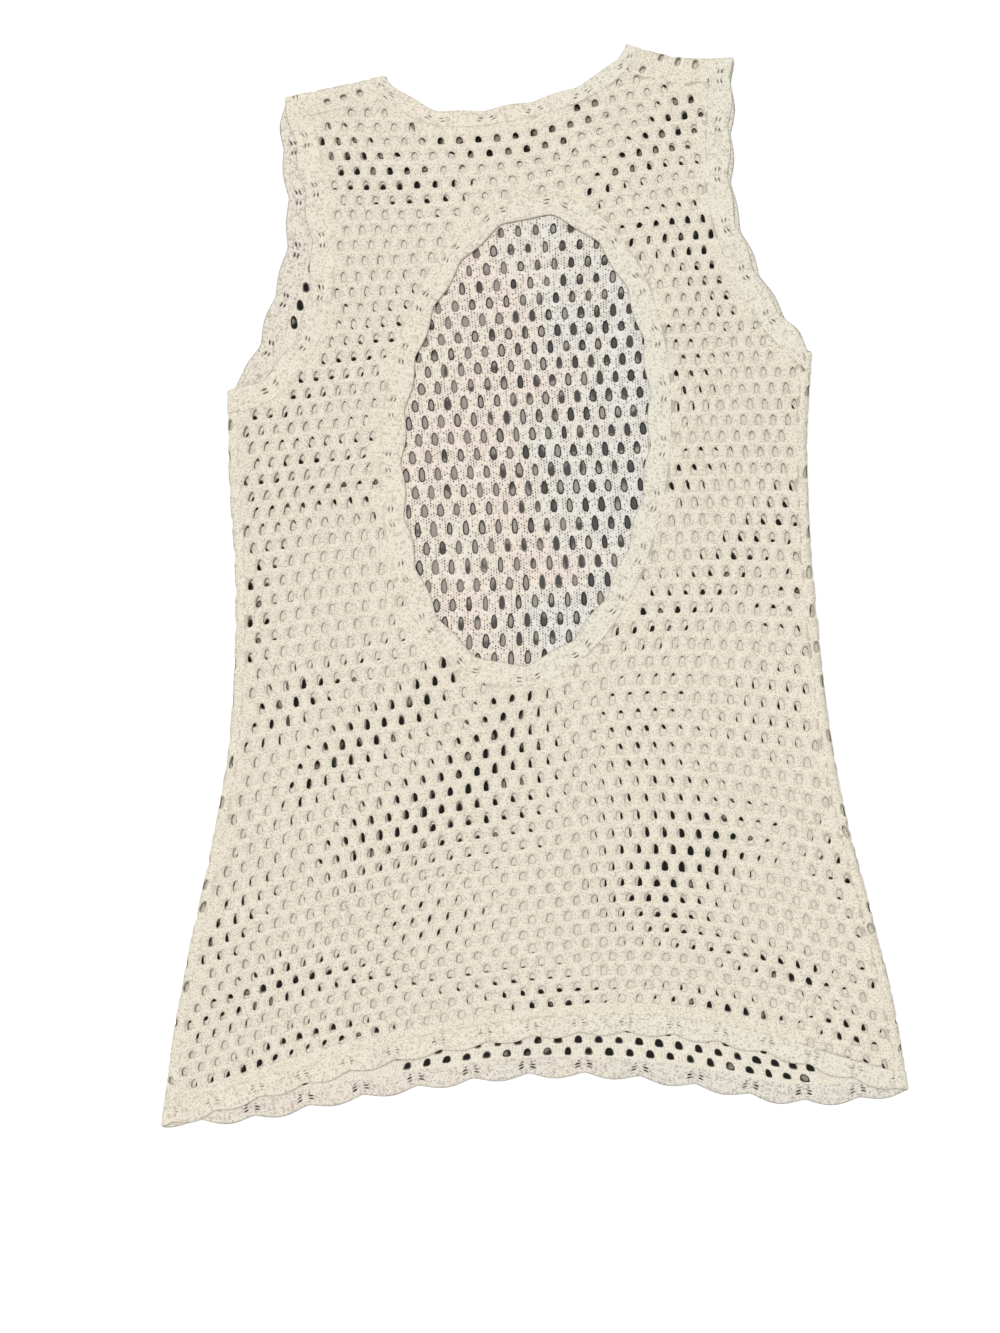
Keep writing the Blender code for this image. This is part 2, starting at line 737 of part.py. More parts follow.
def scallop(distance, pitch, depth):
    """Height of the scalloped edge over its mean line: round lobes with narrow dips."""
    lobe = abs(math.sin(math.pi * distance / pitch)) ** SCALLOP_ROUNDNESS
    return depth * (lobe - SCALLOP_MEAN)


def rib_spacing(first, second):
    """Along the free edge; round a fold the sections share one point of the plan."""
    apart = (second.free - first.free).length
    return apart if apart > Sheet.SAME_POINT else FOLD_STEP


def strip(name, ribs, trim, closed):
    """An edging through its ribs, with a whole number of scallops."""
    travelled = [0.0]
    around = ribs + ribs[:1] if closed else ribs
    for first, second in zip(around, around[1:]):
        travelled.append(travelled[-1] + rib_spacing(first, second))
    count = round(travelled[-1] / trim.scallop_length)
    pitch = travelled[-1] / count
    sections = [cloth_section(rib, scallop(distance - FIRST_DIP[name], pitch, trim.scallop_depth))
                for rib, distance in zip(ribs, travelled)]
    sheet = Sheet(name)
    sheet.patch(sections + sections[:1] if closed else sections)
    return sheet.build()


def cutout_edging():
    angles = [math.pi * row / CUTOUT_ROWS for row in range(2 * CUTOUT_ROWS + 1)]
    stations = [(angle, cutout_sewn(angle if angle <= math.pi else angle - 2 * math.pi))
                for angle in angles]
    ribs = finer(stations, cutout_free, on_back)
    return strip("cutout_edging", ribs[:-1], CUTOUT_TRIM, True)


def armhole_edging(side):
    """Up the back's armhole, over the shoulder, down the front's and round the side fold."""
    back, front = ARMHOLES_BACK[side], ARMHOLES_FRONT[side]
    low, high = back.share_of(SIDE_LAP), shoulder_shares(side)[0]
    ribs = along_edging(back, [0, *shares(low, high, ARMHOLE_ROWS), 1], on_back)
    tip_outward = shoulder_outward(side, 0)
    ribs += reversed(fold_ribs(back.sewn(1), back.free(1), tip_outward))
    ribs += along_edging(front, shares(1, 0, FRONT_CHEST_ROWS + FRONT_NECK_ROWS), on_front)
    ribs += fold_ribs(back.sewn(0), back.free(0), side_outward(side, 1))
    return strip("armhole_edging_" + side, ribs, ARMHOLE_TRIM, True)


def neck_edging():
    """Along the back's neck, over the right shoulder, along the front's and back over the left."""
    left, right = shoulder_shares("left")[1], shoulder_shares("right")[1]
    stations = [0, *shares(left, NECK_BACK_FOOT, NECK_ROWS),
                *shares(NECK_BACK_FOOT, right, NECK_ROWS)[1:], 1]
    ribs = along_edging(NECK_BACK, stations, on_back)
    ribs += reversed(fold_ribs(NECK_BACK.sewn(1), NECK_BACK.free(1), shoulder_outward("right", 1)))
    stations = [*shares(1, NECK_FRONT_FOOT, FRONT_NECK_ROWS),
                *shares(NECK_FRONT_FOOT, 0, FRONT_NECK_ROWS)[1:]]
    ribs += along_edging(NECK_FRONT, stations, on_front)
    ribs += fold_ribs(NECK_BACK.sewn(0), NECK_BACK.free(0), shoulder_outward("left", 1))
    return strip("neck_edging", ribs, NECK_TRIM, True)


def hem_edging_back():
    lap = HEM_BACK.share_of(SIDE_LAP)
    ribs = along_edging(HEM_BACK, shares(lap, 1 - lap, 2 * HALF_COLUMNS), on_back)
    return strip("hem_edging_back", ribs, BACK_HEM_TRIM, False)


def hem_edging_front():
    """Along the front's hem, with both ends turned up round the side folds to the side seams."""
    lap = HEM_BACK.share_of(SIDE_LAP)
    left, right = (HEM_BACK.sewn(0), HEM_BACK.free(0)), (HEM_BACK.sewn(1), HEM_BACK.free(1))
    ribs = [layer_rib(HEM_BACK.sewn(lap), HEM_BACK.free(lap), on_back),
            layer_rib(*left, on_back)]
    ribs += reversed(fold_ribs(*left, side_outward("left", 0)))
    ribs += along_edging(HEM_FRONT, shares(0, 1, 2 * HALF_COLUMNS), on_front)
    ribs += fold_ribs(*right, side_outward("right", 0))
    ribs += [layer_rib(*right, on_back),
             layer_rib(HEM_BACK.sewn(1 - lap), HEM_BACK.free(1 - lap), on_back)]
    return strip("hem_edging_front", ribs, FRONT_HEM_TRIM, False)


def build_top():
    for old in list(bpy.data.objects):
        bpy.data.objects.remove(old, do_unlink=True)
    front_panel()
    back_panel()
    cutout_edging()
    neck_edging()
    armhole_edging("left")
    armhole_edging("right")
    hem_edging_front()
    hem_edging_back()


build_top()
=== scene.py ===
"""Looks of a sleeveless openwork knitted top, laid flat with its open back upwards.

Metres, in the frame of the CAD model. Each panel is a net of real holes, charted in columns and
courses of holes and thickened to a soft wall on the form of its solid; each edging is a close-knit
scalloped strip with small slits. Left and right are those of someone who looks down on it.
"""

import math
from collections import namedtuple

import bpy
import numpy as np
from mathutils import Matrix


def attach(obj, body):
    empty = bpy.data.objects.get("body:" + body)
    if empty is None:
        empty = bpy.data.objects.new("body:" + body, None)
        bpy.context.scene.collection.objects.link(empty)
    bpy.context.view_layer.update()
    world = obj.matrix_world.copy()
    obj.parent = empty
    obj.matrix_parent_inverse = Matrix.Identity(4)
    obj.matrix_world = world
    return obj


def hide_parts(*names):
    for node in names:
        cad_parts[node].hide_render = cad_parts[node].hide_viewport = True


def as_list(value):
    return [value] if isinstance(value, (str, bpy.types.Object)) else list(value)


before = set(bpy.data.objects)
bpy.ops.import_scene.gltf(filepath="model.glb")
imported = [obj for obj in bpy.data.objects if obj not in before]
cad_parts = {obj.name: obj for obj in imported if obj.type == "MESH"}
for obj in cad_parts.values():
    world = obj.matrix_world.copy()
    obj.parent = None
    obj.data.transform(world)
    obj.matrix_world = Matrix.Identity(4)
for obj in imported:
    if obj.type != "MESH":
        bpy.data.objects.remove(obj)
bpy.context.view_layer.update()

# ---------------------------------------------------------------- sizes of the cloth
MM = 0.001
WALL = 1.8 * MM                 # knitted cloth
FREE_EDGE_WALL = 1.3 * MM       # an edging thins towards its scallops
LAYER_GAP = 0.4 * MM            # between the back and the front that it lies on
FOLD_RADIUS = 2.3 * MM          # of the middle of the wall, at the sides and the shoulders
FOLD_REACH = 24.0 * MM          # how far in from a fold the back still stands up
SIDE_LAP = 4.0 * MM             # from the side fold to the side seam
SHOULDER_LAP = 13.0 * MM        # from the shoulder fold to the shoulder seam
END_EASE = 30.0 * MM            # where an edging turns to run square across a fold

FRONT_HEIGHT = WALL / 2
BACK_HEIGHT = FRONT_HEIGHT + WALL + LAYER_GAP
FOLD_RISE = 2 * FOLD_RADIUS - (BACK_HEIGHT - FRONT_HEIGHT)
FOLD_INSET = FOLD_RADIUS + WALL / 2
FOLD_ARC = math.pi * FOLD_RADIUS
SCALLOP_ROUNDNESS = 1.25        # power of the sine that shapes a lobe; less is fuller
SCALLOP_MEAN = 0.59             # mean height of a lobe, of its depth

Trim = namedtuple("Trim", "width scallop_length scallop_depth")
NECK_TRIM = Trim(10.5 * MM, 32.5 * MM, 1.6 * MM)
ARMHOLE_TRIM = Trim(15.5 * MM, 33 * MM, 2.6 * MM)
CUTOUT_TRIM = Trim(15.0 * MM, 36 * MM, 3.0 * MM)
BACK_HEM_TRIM = Trim(13.2 * MM, 31.5 * MM, 3.2 * MM)
FRONT_HEM_TRIM = Trim(13.2 * MM, 37 * MM, 4.0 * MM)
FIRST_DIP = {                   # from where a strip starts to a dip between two scallops
    "neck_edging": 7.5 * MM,
    "armhole_edging_left": -10.0 * MM,
    "armhole_edging_right": -0.5 * MM,
    "cutout_edging": 9.5 * MM,
    "hem_edging_back": 0.0,
    "hem_edging_front": -4.0 * MM,
}

# The oval cut-out, to the middle of its scalloped edge.
CUTOUT_CENTRE = (-6.0 * MM, 98.5 * MM)
CUTOUT_HALF_WIDTH = 83.0 * MM
CUTOUT_HALF_LENGTH = 152.5 * MM
CUTOUT_LEAN = 0.061             # sideways for each metre up

# ---------------------------------------------------------------- outlines, in millimetres
# All are places across and up. First the outermost lines of the two side folds, from the hem up.
SIDES = {
    "left": ((-254.5, -367.0), (-246.0, -302.5), (-234.5, -241.5), (-221.0, -179.0),
             (-210.0, -117.5), (-205.0, -54.5), (-204.5, 8.0), (-208.5, 69.5), (-209.5, 132.5)),
    "right": ((254.5, -344.0), (243.5, -280.0), (228.0, -217.5), (211.5, -154.0),
              (200.0, -91.5), (193.0, -28.0), (187.5, 34.5), (185.5, 97.5), (188.5, 160.0)),
}

# A shoulder: where it starts at the armhole and ends at the neck, and how far it sags between.
Shoulder = namedtuple("Shoulder", "tip neck sag")
SHOULDERS = {
    "left": Shoulder((-171.0, 332.0), (-102.0, 347.0), 0.0),
    "right": Shoulder((134.5, 359.5), (62.0, 368.5), 4.0),
}

# Free edges of the armholes, from the underarm to the shoulder.
ARMHOLE_EDGES_BACK = {
    "left": ((-196.5, 135.0), (-185.5, 140.5), (-174.0, 152.0), (-165.0, 165.0), (-156.5, 186.0),
             (-152.5, 214.5), (-153.5, 240.0), (-158.0, 271.0), (-163.5, 300.0)),
    "right": ((177.0, 173.0), (165.5, 187.5), (151.0, 212.5), (139.5, 239.5), (133.5, 263.0),
              (132.0, 290.0), (133.0, 325.0)),
}
ARMHOLE_EDGES_FRONT = {
    "left": ((-202.0, 139.5), (-195.0, 150.5), (-188.0, 165.0), (-180.0, 191.0), (-172.0, 218.0),
             (-168.5, 245.0), (-170.0, 275.0), (-173.0, 305.0)),
    "right": ((179.0, 173.0), (167.5, 188.0), (153.5, 213.0), (142.0, 240.0), (136.0, 263.0),
              (134.5, 290.0), (135.0, 325.0)),
}

# Free edges of the neck, from the left shoulder to the right one.
BACK_NECK = ((-89.0, 334.5), (-69.0, 324.0), (-45.0, 322.5), (-17.0, 326.5), (12.0, 333.5),
             (37.0, 344.0), (54.0, 357.0))
FRONT_NECK = ((-96.0, 328.0), (-82.0, 309.0), (-58.0, 294.0), (-28.0, 288.0), (2.0, 292.0),
              (30.0, 307.5), (52.0, 334.0))

# Middles of the hems' scallops, from the left side to the right one.
BACK_HEM = ((-224.0, -361.0), (-194.0, -351.5), (-126.0, -332.0), (-58.0, -316.5), (10.0, -307.0),
            (78.0, -305.5), (146.0, -316.0), (214.0, -336.0))
FRONT_HEM = ((-228.0, -365.5), (-190.0, -363.0), (-129.0, -351.0), (-68.0, -341.0), (-7.0, -334.5),
             (54.0, -334.5), (115.0, -342.5), (170.0, -351.5), (217.0, -351.0))

# The largest soft folds of the back, each a low ridge: its middle, its direction, its length and
# width, and its height.
Ridge = namedtuple("Ridge", "across up angle length width height")
RIDGES = (
    Ridge(112.0, 205.0, 62.0, 120.0, 20.0, 2.2),
    Ridge(150.0, 60.0, 84.0, 190.0, 22.0, 1.6),
    Ridge(-172.0, 60.0, 80.0, 170.0, 20.0, 1.8),
    Ridge(-212.0, -262.0, 70.0, 150.0, 16.0, 2.0),
    Ridge(222.0, -262.0, 106.0, 170.0, 14.0, 1.8),
    Ridge(-70.0, -160.0, 24.0, 190.0, 30.0, 1.5),
    Ridge(70.0, -215.0, 158.0, 200.0, 32.0, 1.7),
    Ridge(-95.0, -262.0, 16.0, 170.0, 26.0, 1.4),
    Ridge(-30.0, 296.0, 4.0, 110.0, 18.0, 1.0),
)

# ---------------------------------------------------------------- the nets, in millimetres
# Where the holes of each net lie, fitted to those in the photograph: a row for every sixth course
# of holes, counted upwards, with the places of every sixth column in it. Every other course stands
# half a column to the side.
NET_COLUMNS = (-24, -18, -12, -6, 0, 6, 12, 18, 24)
Course = namedtuple("Course", "number across up")
BACK_NET = (
    Course(36, (-288.2, -226.2, -162.3, -94.2, -22.0, 51.3, 123.6, 195.0, 265.8),
           (362.6, 361.5, 360.7, 361.4, 366.9, 379.8, 394.9, 410.0, 425.0)),
    Course(30, (-279.0, -217.7, -155.8, -88.7, -13.2, 60.2, 128.3, 195.4, 261.7),
           (297.1, 299.2, 301.9, 301.6, 305.6, 322.4, 334.3, 344.7, 355.6)),
    Course(24, (-271.6, -209.4, -148.8, -83.9, -5.7, 69.2, 133.3, 195.6, 258.0),
           (231.3, 235.9, 241.0, 242.4, 248.8, 263.9, 271.9, 278.9, 286.3)),
    Course(18, (-268.6, -203.3, -143.3, -80.9, -2.5, 73.8, 135.2, 194.9, 256.1),
           (164.4, 170.3, 176.2, 181.1, 190.7, 203.5, 208.3, 212.0, 217.0)),
    Course(12, (-271.2, -206.5, -145.4, -82.1, -2.5, 74.3, 135.3, 195.2, 257.1),
           (95.2, 103.2, 109.1, 116.3, 128.9, 140.9, 144.3, 145.3, 147.0)),
    Course(6, (-277.2, -216.1, -153.6, -86.3, -3.5, 75.5, 138.3, 199.2, 260.8),
           (22.4, 33.7, 42.1, 49.0, 63.1, 76.4, 79.8, 78.5, 74.7)),
    Course(0, (-283.0, -220.6, -154.5, -84.9, -3.8, 75.2, 140.7, 203.8, 266.6),
           (-53.0, -41.7, -30.1, -21.6, -6.5, 7.3, 9.3, 5.2, -1.3)),
    Course(-6, (-285.6, -218.4, -149.0, -78.6, -2.8, 71.0, 138.7, 206.5, 273.0),
           (-128.5, -115.1, -99.9, -89.3, -75.5, -63.8, -65.8, -72.8, -80.7)),
    Course(-12, (-284.4, -215.1, -146.7, -75.7, -2.1, 68.8, 139.2, 209.2, 279.0),
           (-201.1, -184.7, -166.6, -153.8, -142.3, -133.0, -137.0, -149.4, -161.1)),
    Course(-18, (-281.3, -213.8, -147.0, -76.6, -2.1, 70.4, 142.6, 213.4, 284.8),
           (-268.9, -251.3, -232.5, -217.9, -207.1, -201.1, -207.0, -222.8, -238.4)),
    Course(-24, (-277.4, -210.9, -144.0, -75.0, -1.5, 71.0, 143.4, 217.3, 290.3),
           (-331.6, -312.4, -292.6, -277.0, -266.0, -261.5, -269.5, -288.7, -309.1)),
    Course(-30, (-273.3, -206.1, -138.8, -70.8, 0.1, 71.1, 144.2, 220.4, 295.1),
           (-390.6, -369.8, -349.3, -333.3, -322.3, -319.0, -329.7, -350.6, -372.9)),
    Course(-36, (-269.4, -201.9, -134.4, -66.5, 2.6, 73.7, 147.5, 223.2, 299.4),
           (-448.0, -426.3, -406.3, -390.2, -381.0, -381.7, -393.0, -411.7, -433.4)),
)
FRONT_NET = (
    Course(36, (-298.8, -231.2, -163.3, -95.1, -27.0, 41.5, 109.9, 177.5, 244.1),
           (376.6, 390.8, 405.0, 417.9, 426.5, 429.4, 429.3, 430.2, 432.9)),
    Course(30, (-291.3, -226.6, -161.8, -94.0, -23.9, 48.1, 115.7, 180.4, 242.1),
           (311.5, 322.5, 333.9, 344.4, 355.6, 355.1, 352.9, 358.2, 364.8)),
    Course(24, (-284.1, -220.6, -157.5, -91.9, -20.1, 54.2, 120.3, 181.1, 241.2),
           (246.4, 255.5, 265.1, 270.7, 277.5, 282.4, 286.5, 291.7, 295.1)),
    Course(18, (-278.0, -213.3, -149.1, -84.3, -14.6, 52.9, 120.0, 179.8, 243.5),
           (181.2, 186.1, 191.7, 198.4, 205.2, 210.2, 215.6, 220.9, 221.0)),
    Course(12, (-273.4, -207.7, -142.1, -77.3, -10.0, 54.8, 117.7, 181.7, 250.9),
           (115.8, 120.3, 127.5, 133.7, 138.6, 142.3, 147.6, 145.8, 141.6)),
    Course(6, (-270.6, -201.9, -135.1, -70.6, -4.4, 60.7, 127.5, 196.1, 261.7),
           (49.9, 54.9, 59.7, 63.5, 66.3, 68.5, 69.9, 62.9, 59.5)),
    Course(0, (-269.9, -199.0, -132.3, -67.1, -0.0, 67.2, 138.2, 207.9, 270.8),
           (-19.1, -15.5, -15.7, -13.7, -10.5, -7.8, -8.2, -17.7, -21.4)),
    Course(-6, (-271.1, -202.3, -135.7, -68.2, 1.3, 70.4, 141.7, 209.9, 275.2),
           (-94.8, -91.7, -94.2, -91.5, -85.5, -81.5, -81.1, -90.1, -98.7)),
    Course(-12, (-273.0, -207.0, -139.2, -69.0, 2.5, 71.5, 140.8, 207.5, 276.1),
           (-177.2, -173.7, -172.2, -166.2, -157.8, -154.4, -156.1, -163.7, -173.0)),
    Course(-18, (-272.9, -205.0, -137.6, -66.8, 5.1, 72.7, 139.9, 208.2, 277.4),
           (-260.5, -253.5, -243.9, -234.6, -225.6, -225.3, -231.8, -240.5, -244.6)),
    Course(-24, (-276.5, -211.5, -148.2, -73.6, 3.7, 80.4, 154.6, 222.3, 286.7),
           (-341.4, -323.0, -302.7, -287.9, -277.5, -278.4, -291.5, -300.0, -309.7)),
    Course(-30, (-282.9, -221.3, -159.2, -81.4, 1.2, 86.0, 167.0, 237.2, 300.9),
           (-420.4, -387.9, -354.7, -333.3, -325.1, -327.8, -341.0, -350.8, -370.7)),
    Course(-36, (-290.6, -231.6, -166.8, -88.6, -0.9, 89.2, 175.0, 250.3, 317.2),
           (-498.3, -451.3, -408.9, -381.7, -373.8, -378.8, -390.5, -406.1, -429.6)),
)


# ---------------------------------------------------------------- lines in the plan
def ease(share):
    """0 to 1 with level ends."""
    share = np.clip(share, 0.0, 1.0)
    return share * share * (3 - 2 * share)


def unit(vectors):
    return vectors / np.linalg.norm(vectors, axis=-1, keepdims=True)


def turned_left(vectors):
    return np.stack([-vectors[..., 1], vectors[..., 0]], -1)


class Line:
    """A smooth line through plan points, read by shares of its length, from 0 to 1."""

    STEPS = 12                  # between two of its points
    READING = 0.004             # share to each side over which its direction is taken

    def __init__(self, points):
        points = np.array(points, float)
        padded = np.vstack([2 * points[0] - points[1], points, 2 * points[-1] - points[-2]])
        t = (np.arange(self.STEPS) + 1)[:, None] / self.STEPS
        samples = [points[:1]]
        for before, start, end, after in zip(padded, padded[1:], padded[2:], padded[3:]):
            samples.append(0.5 * (2 * start + (end - before) * t
                                  + (2 * before - 5 * start + 4 * end - after) * t ** 2
                                  + (3 * start - before - 3 * end + after) * t ** 3))
        self.samples = np.vstack(samples)
        steps = np.linalg.norm(np.diff(self.samples, axis=0), axis=1)
        self.lengths = np.concatenate([[0.0], np.cumsum(steps)])
        self.length = self.lengths[-1]

    def at(self, share):
        wanted = np.clip(share, 0, 1) * self.length
        return np.stack([np.interp(wanted, self.lengths, self.samples[:, axis])
                         for axis in (0, 1)], -1)

    def direction(self, share):
        share = np.asarray(share, float)
        return unit(self.at(share + self.READING) - self.at(share - self.READING))


class Edging:
    """The free edge of a strip and, a width away on the garment's side, the line it is sewn to."""

    def __init__(self, free_line, trim, garment_on_left, start_along, end_along):
        self.free_line = free_line
        self.trim = trim
        self.side = 1 if garment_on_left else -1
        self.start_along = start_along
        self.end_along = end_along

    def share_of(self, distance):
        return distance / self.free_line.length

    def free(self, share):
        return self.free_line.at(share)

    def sewn(self, share):
        share = np.asarray(share, float)
        across = self.side * turned_left(self.free_line.direction(share))
        distance = share * self.free_line.length
        start = ease(1 - distance / END_EASE)[..., None]
        end = ease(1 - (self.free_line.length - distance) / END_EASE)[..., None]
        across = across * (1 - start - end) + self.start_along * start + self.end_along * end
        return self.free(share) + unit(across) * self.trim.width


def plan_points(rows):
    return [np.array(row) * MM for row in rows]


OUTWARD = {"left": -1, "right": 1}             # sign of the way out of the garment
FOLD_SHARES = np.linspace(0, 1, 25)


def side_fold(side):
    """The line round which a side turns: the outline, moved in by half the fold."""
    outline = Line(plan_points(SIDES[side]))
    square = OUTWARD[side] * turned_left(outline.direction(FOLD_SHARES))
    return Line(outline.at(FOLD_SHARES) + square * FOLD_INSET)


def shoulder_fold(side):
    tip, neck = plan_points(SHOULDERS[side][:2])
    down = turned_left(unit(neck - tip))
    down = -down if down[1] > 0 else down
    share = FOLD_SHARES[:, None]
    sag = SHOULDERS[side].sag * MM * 4 * share * (1 - share)
    return Line(tip + (neck - tip) * share + down * (FOLD_INSET + sag))


SIDE_FOLDS = {side: side_fold(side) for side in OUTWARD}
SHOULDER_FOLDS = {side: shoulder_fold(side) for side in OUTWARD}


def armhole(side, rows):
    underarm, tip = SIDE_FOLDS[side].at(1), SHOULDER_FOLDS[side].at(0)
    return Edging(Line([underarm, *plan_points(rows), tip]), ARMHOLE_TRIM, side == "right",
                  -SIDE_FOLDS[side].direction(1), SHOULDER_FOLDS[side].direction(0))


def neckline(rows):
    left, right = SHOULDER_FOLDS["left"], SHOULDER_FOLDS["right"]
    return Edging(Line([left.at(1), *plan_points(rows), right.at(1)]), NECK_TRIM, False,
                  -left.direction(1), -right.direction(1))


def hem(rows, trim):
    left, right = SIDE_FOLDS["left"], SIDE_FOLDS["right"]
    return Edging(Line([left.at(0), *plan_points(rows), right.at(0)]), trim, True,
                  left.direction(0), right.direction(0))


ARMHOLES_BACK = {side: armhole(side, rows) for side, rows in ARMHOLE_EDGES_BACK.items()}
ARMHOLES_FRONT = {side: armhole(side, rows) for side, rows in ARMHOLE_EDGES_FRONT.items()}
NECK_BACK = neckline(BACK_NECK)
NECK_FRONT = neckline(FRONT_NECK)
HEM_BACK = hem(BACK_HEM, BACK_HEM_TRIM)
HEM_FRONT = hem(FRONT_HEM, FRONT_HEM_TRIM)


def whole_turn(steps):
    return np.linspace(0, 2 * math.pi, steps + 1)[:-1]


def cutout_free(angle):
    """Edge of the cut-out; the angle runs from its foot, up its right side to its head."""
    angle = np.asarray(angle, float)
    rise = -CUTOUT_HALF_LENGTH * np.cos(angle)
    across = CUTOUT_HALF_WIDTH * np.sin(angle) + CUTOUT_LEAN * rise
    return np.array(CUTOUT_CENTRE) + np.stack([across, rise], -1)


ANGLE_READING = 0.01            # angle to each side over which the oval's direction is taken


def cutout_sewn(angle):
    ahead = cutout_free(angle + ANGLE_READING) - cutout_free(angle - ANGLE_READING)
    outward = -turned_left(unit(ahead))
    return cutout_free(angle) + outward * CUTOUT_TRIM.width


# ---------------------------------------------------------------- from the plan to the cloth
CHUNK = 8000                    # points measured at once
LEAST_SQUARE = 1e-18            # so that a segment without length divides nothing by nothing
FOLD_SAMPLING = 6               # heights need only every so many samples of a fold


def to_polyline(points, line):
    """Distance from each point to a polyline, the nearest place on it and its segment."""
    start, along = line[:-1], np.diff(line, axis=0)
    length = np.maximum((along ** 2).sum(1), LEAST_SQUARE)
    distance, place, number = [], [], []
    for chunk in np.array_split(points, max(1, len(points) // CHUNK)):
        away = chunk[:, None, :] - start
        share = np.clip((away * along).sum(2) / length, 0, 1)
        gap = ((away - along * share[..., None]) ** 2).sum(2)
        nearest = gap.argmin(1)
        rows = np.arange(len(chunk))
        distance.append(np.sqrt(gap[rows, nearest]))
        place.append(start[nearest] + along[nearest] * share[rows, nearest, None])
        number.append(nearest)
    return np.concatenate(distance), np.concatenate(place), np.concatenate(number)


def inside(points, outline):
    """Whether each point lies in a closed outline."""
    x, y = points[:, 0], points[:, 1]
    result = np.zeros(len(points), bool)
    for (x0, y0), (x1, y1) in zip(outline, np.roll(outline, -1, axis=0)):
        if y0 != y1:
            crosses = (y0 > y) != (y1 > y)
            result ^= crosses & (x < (x1 - x0) * (y - y0) / (y1 - y0) + x0)
    return result


def depth_inside(points, outline):
    """Distance to a closed outline, more than nothing inside it and less outside."""
    closed = np.vstack([outline, outline[:1]])
    distance = to_polyline(points, closed)[0]
    return np.where(inside(points, outline), distance, -distance)


def ridge_height(points):
    total = np.zeros(len(points))
    for ridge in RIDGES:
        x, y = (points - np.array((ridge.across, ridge.up)) * MM).T
        angle = math.radians(ridge.angle)
        along = (x * math.cos(angle) + y * math.sin(angle)) / (ridge.length / 2 * MM)
        across = (y * math.cos(angle) - x * math.sin(angle)) / (ridge.width * MM)
        total += ridge.height * MM * np.exp(-along ** 2 - across ** 2)
    return total


def back_height(points):
    """Height of the middle of the back's wall: up on the folds, with soft ridges between."""
    gap = np.full(len(points), FOLD_REACH)
    for line in (*SIDE_FOLDS.values(), *SHOULDER_FOLDS.values()):
        gap = np.minimum(gap, to_polyline(points, line.samples[::FOLD_SAMPLING])[0])
    from_fold = ease(1 - gap / FOLD_REACH)
    return BACK_HEIGHT + FOLD_RISE * from_fold + ridge_height(points) * (1 - from_fold)


def on_cloth(points, outward, turn):
    """Places and normals of the wall's middle: turn 0 is on the front and 1 on the back."""
    turn = np.broadcast_to(turn, len(points)).astype(float)
    angle = math.pi * turn
    normal = np.concatenate([outward * np.sin(angle)[:, None], -np.cos(angle)[:, None]], 1)
    height = FRONT_HEIGHT + FOLD_RADIUS + normal[:, 2] * FOLD_RADIUS
    back = turn >= 1
    if back.any():
        height[back] = back_height(points[back])
    place = np.concatenate([points + normal[:, :2] * FOLD_RADIUS, height[:, None]], 1)
    return place, normal


# ---------------------------------------------------------------- a soft wall
# How close a point is to a rim that takes painted shade or to a darker seam, how dark that mark is,
# and how far the point lies inside the cut-out, full on the edgings.
MARKS = ("rim", "shade", "in_cutout")


def placed(name, data):
    """A new object in the scene."""
    thing = bpy.data.objects.new(name, data)
    bpy.context.collection.objects.link(thing)
    return thing


def rim_walls(faces, stitches, single, under):
    """Faces with their stitches that close a wall along its rims, and its crisp pairs of points."""
    first = np.concatenate([face.ravel() for face in faces])
    second = np.concatenate([np.roll(face, -1, axis=1).ravel() for face in faces])
    edge_uv = np.concatenate([uv.reshape(-1, 2) for uv in stitches])
    key = np.minimum(first, second) * (len(single) + 1) + np.maximum(first, second)
    unused, where, times = np.unique(key, return_index=True, return_counts=True)
    rims = where[times == 1]
    start, end = first[rims], second[rims]
    walled = ~(single[start] & single[end])
    crisp = [np.stack([start[~walled], end[~walled]], 1)]
    start, end, uv = start[walled], end[walled], edge_uv[rims][walled]
    crisp += [np.stack([start, end], 1), np.stack([under[start], under[end]], 1)]
    walls = []
    for wanted, corners in ((~single[start] & ~single[end], [end, start, under[start], under[end]]),
                            (single[start], [end, start, under[end]]),
                            (single[end], [end, start, under[start]])):
        face = np.stack(corners, 1)[wanted]
        if len(face):
            walls.append((face, np.repeat(uv[wanted][:, None], face.shape[1], axis=1)))
    return walls, np.concatenate(crisp)


